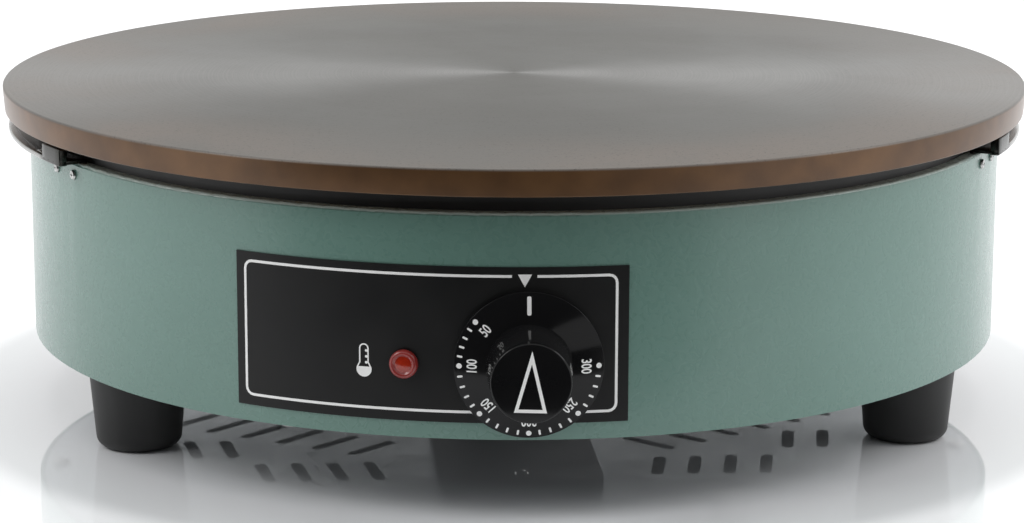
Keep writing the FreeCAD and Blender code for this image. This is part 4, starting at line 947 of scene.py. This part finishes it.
def lay_on_label(bm):
    """Cuts a flat drawing across every two millimetres and bends it round the label."""
    left = min(vert.co.x for vert in bm.verts)
    right = max(vert.co.x for vert in bm.verts)
    for index in range(1, int((right - left) / (2 * MM)) + 1):
        cut_across(bm, (left + index * 2 * MM, 0, 0), (1, 0, 0))
    for vert in bm.verts:
        angle = vert.co.x / (LABEL_RADIUS * MM)
        ring = (LABEL_RADIUS + INK) * MM
        vert.co = Vector((ring * math.sin(angle), -ring * math.cos(angle), vert.co.y))


# %% Frame line
FRAME_LEFT, FRAME_RIGHT = arc_length(-33.95), arc_length(6.35)
FRAME_LOW, FRAME_TOP = 39.4, 88.3
line = rounded_mark(FRAME_RIGHT - FRAME_LEFT, FRAME_TOP - FRAME_LOW, 3.2)
middle = Vector(((FRAME_LEFT + FRAME_RIGHT) / 2 * MM, (FRAME_LOW + FRAME_TOP) / 2 * MM, 0))
bmesh.ops.translate(line, verts=line.verts, vec=middle)
hollow_out(line, 0.95)
gap = (arc_length(-4.65) * MM, arc_length(-2.05) * MM)
for edge_x in gap:
    cut_across(line, (edge_x, 0, 0), (1, 0, 0))
cut = []
for face in line.faces:
    centre = face.calc_center_median()
    if gap[0] < centre.x < gap[1] and centre.y > middle.y:
        cut.append(face)
bmesh.ops.delete(line, geom=cut, context="FACES")
lay_on_label(line)
finish_piece(line, "frame_print", None, look=white_ink, fix=False)

# %% Pointer above the knob
marker = bmesh.new()
corners = [(arc_length(-4.05), 88.5), (arc_length(-3.33), 84.0), (arc_length(-2.6), 88.5)]
marker.faces.new([marker.verts.new((x * MM, y * MM, 0)) for x, y in corners])
lay_on_label(marker)
finish_piece(marker, "marker_print", None, look=white_ink, fix=False)

# %% Thermometer sign
SIGN_X, BULB_Y, STEM_TOP = arc_length(-20.15), 53.4, 62.5
sign = rounded_mark(3.5, STEM_TOP - BULB_Y, 1.7)
bmesh.ops.translate(sign, verts=sign.verts, vec=(SIGN_X * MM, (STEM_TOP + BULB_Y) / 2 * MM, 0))
hollow_out(sign, 0.5)
cut_across(sign, (0, (BULB_Y + 2.2) * MM, 0), (0, 1, 0), clear_inner=True)
bulb = disc_mark(2.75, 32)
bmesh.ops.translate(bulb, verts=bulb.verts, vec=(SIGN_X * MM, BULB_Y * MM, 0))
cut_across(bulb, (0, (BULB_Y + 0.9) * MM, 0), (0, 1, 0), clear_outer=True)
join_into(sign, bulb)
for side in (-1, 1):
    shoulder = rounded_mark(0.5, 2.2, 0.2)
    shoulder_spot = ((SIGN_X + side * 1.95) * MM, (BULB_Y + 1.6) * MM, 0)
    move(shoulder, Matrix.Translation(shoulder_spot) @ Matrix.Rotation(side * 0.45, 4, "Z"))
    join_into(sign, shoulder)
for index in range(3):
    dot = disc_mark(0.5, 12)
    dot_spot = ((SIGN_X + 0.85) * MM, (60.0 - index * 2.1) * MM, 0)
    bmesh.ops.translate(dot, verts=dot.verts, vec=dot_spot)
    join_into(sign, dot)
lay_on_label(sign)
finish_piece(sign, "thermometer_print", None, look=white_ink, fix=False)

# %% [markdown]
# ## Pilot lamp
# The lamp's lens has a rounded rim round a shallow middle. A turned profile makes it, the faces in
# the middle take the clearer red, and the piece stands for the lens of the frame.

# %% Pilot lamp
lamp_place = facing(-15.84, LABEL_RADIUS + 0.05, 56.2)
rounded_rim = [(3.95 + 1.05 * math.cos(math.radians(turn)), 1.1 + 1.3 * math.sin(math.radians(turn)))
               for turn in range(0, 150, 15)]
lens = lathe([(0, 0), (5, 0)] + rounded_rim + [(2.9, 1.75), (1.6, 2.1), (0, 2.2)], steps=64)
move(lens, lamp_place)
lens = finish_piece(lens, "lamp_cap", "lamp_red")
lens.data.materials.append(finishes["lamp_core"])
laid_flat = lamp_place.inverted()
for face in lens.data.polygons:
    spot = laid_flat @ face.center
    face.material_index = int(spot.z > 1 * MM and spot.xy.length < 3 * MM)
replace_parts(lens, "lamp_lens")

# %% [markdown]
# ## Cable gland
# At the rear a nylon gland lets the supply cable in. Its dome nut is turned and has grooves, which
# are every third side face pressed in. Its hexagon is a six-sided prism with broken corners, opened
# in the middle so that the barrel and its bore run through it.

# %% Gland barrel and dome nut
GLAND_AZIMUTH, GLAND_HEIGHT = 165, 48
BORE, BARREL, NUT_RADIUS, GLAND_END = 4.2, 7.9, 9.5, 16
barrel = lathe([(BORE, -13.6), (BARREL, -13.6), (BARREL, 5.5), (NUT_RADIUS, 5.5), (NUT_RADIUS, 12.4),
                (7.4, GLAND_END), (BORE, GLAND_END)], steps=72)
bevel_rings(barrel, [(7.4, GLAND_END, 0.8), (NUT_RADIUS, 12.4, 0.6), (BORE, GLAND_END, 0.5)])
sides = [face for face in barrel.faces
         if abs(face.normal.z) < 0.1 and face.calc_center_median().xy.length > (NUT_RADIUS - 0.1) * MM]
sides.sort(key=lambda face: math.atan2(face.calc_center_median().y, face.calc_center_median().x))
bmesh.ops.inset_individual(barrel, faces=sides[::3], thickness=0.12 * MM)
for face in sides[::3]:
    inward = face.calc_center_median().xy.normalized() * -0.35 * MM
    bmesh.ops.translate(barrel, verts=face.verts[:], vec=(inward.x, inward.y, 0))
bmesh.ops.recalc_face_normals(barrel, faces=barrel.faces)
print(f"{len(sides[::3])} grooves in the dome nut")

# %% Gland hexagon
HEXAGON_RADIUS = 13.86
hexagon = bmesh.new()
bmesh.ops.create_cone(hexagon, cap_ends=True, segments=6, radius1=HEXAGON_RADIUS * MM,
                      radius2=HEXAGON_RADIUS * MM, depth=5 * MM)
move(hexagon, Matrix.Translation((0, 0, 2.6 * MM)) @ Matrix.Rotation(math.radians(30), 4, "Z"))
bmesh.ops.bevel(hexagon, geom=hexagon.edges, offset=0.6 * MM, offset_type="OFFSET", segments=3,
                profile=0.5, affect="EDGES", material=-1)
hexagon.normal_update()
caps = [face for face in hexagon.faces
        if abs(face.normal.z) > 0.99 and face.calc_area() > 100 * MM * MM]
bmesh.ops.inset_individual(hexagon, faces=caps, thickness=5 * MM)
rims = [edge for cap in caps for edge in cap.edges]
bmesh.ops.delete(hexagon, geom=caps, context="FACES_ONLY")
bmesh.ops.bridge_loops(hexagon, edges=rims)
bmesh.ops.recalc_face_normals(hexagon, faces=hexagon.faces)
join_into(barrel, hexagon)
move(barrel, facing(GLAND_AZIMUTH, 190.1, GLAND_HEIGHT))
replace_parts(finish_piece(barrel, "gland_nylon", "gland_black", fix=False), "cable_gland")
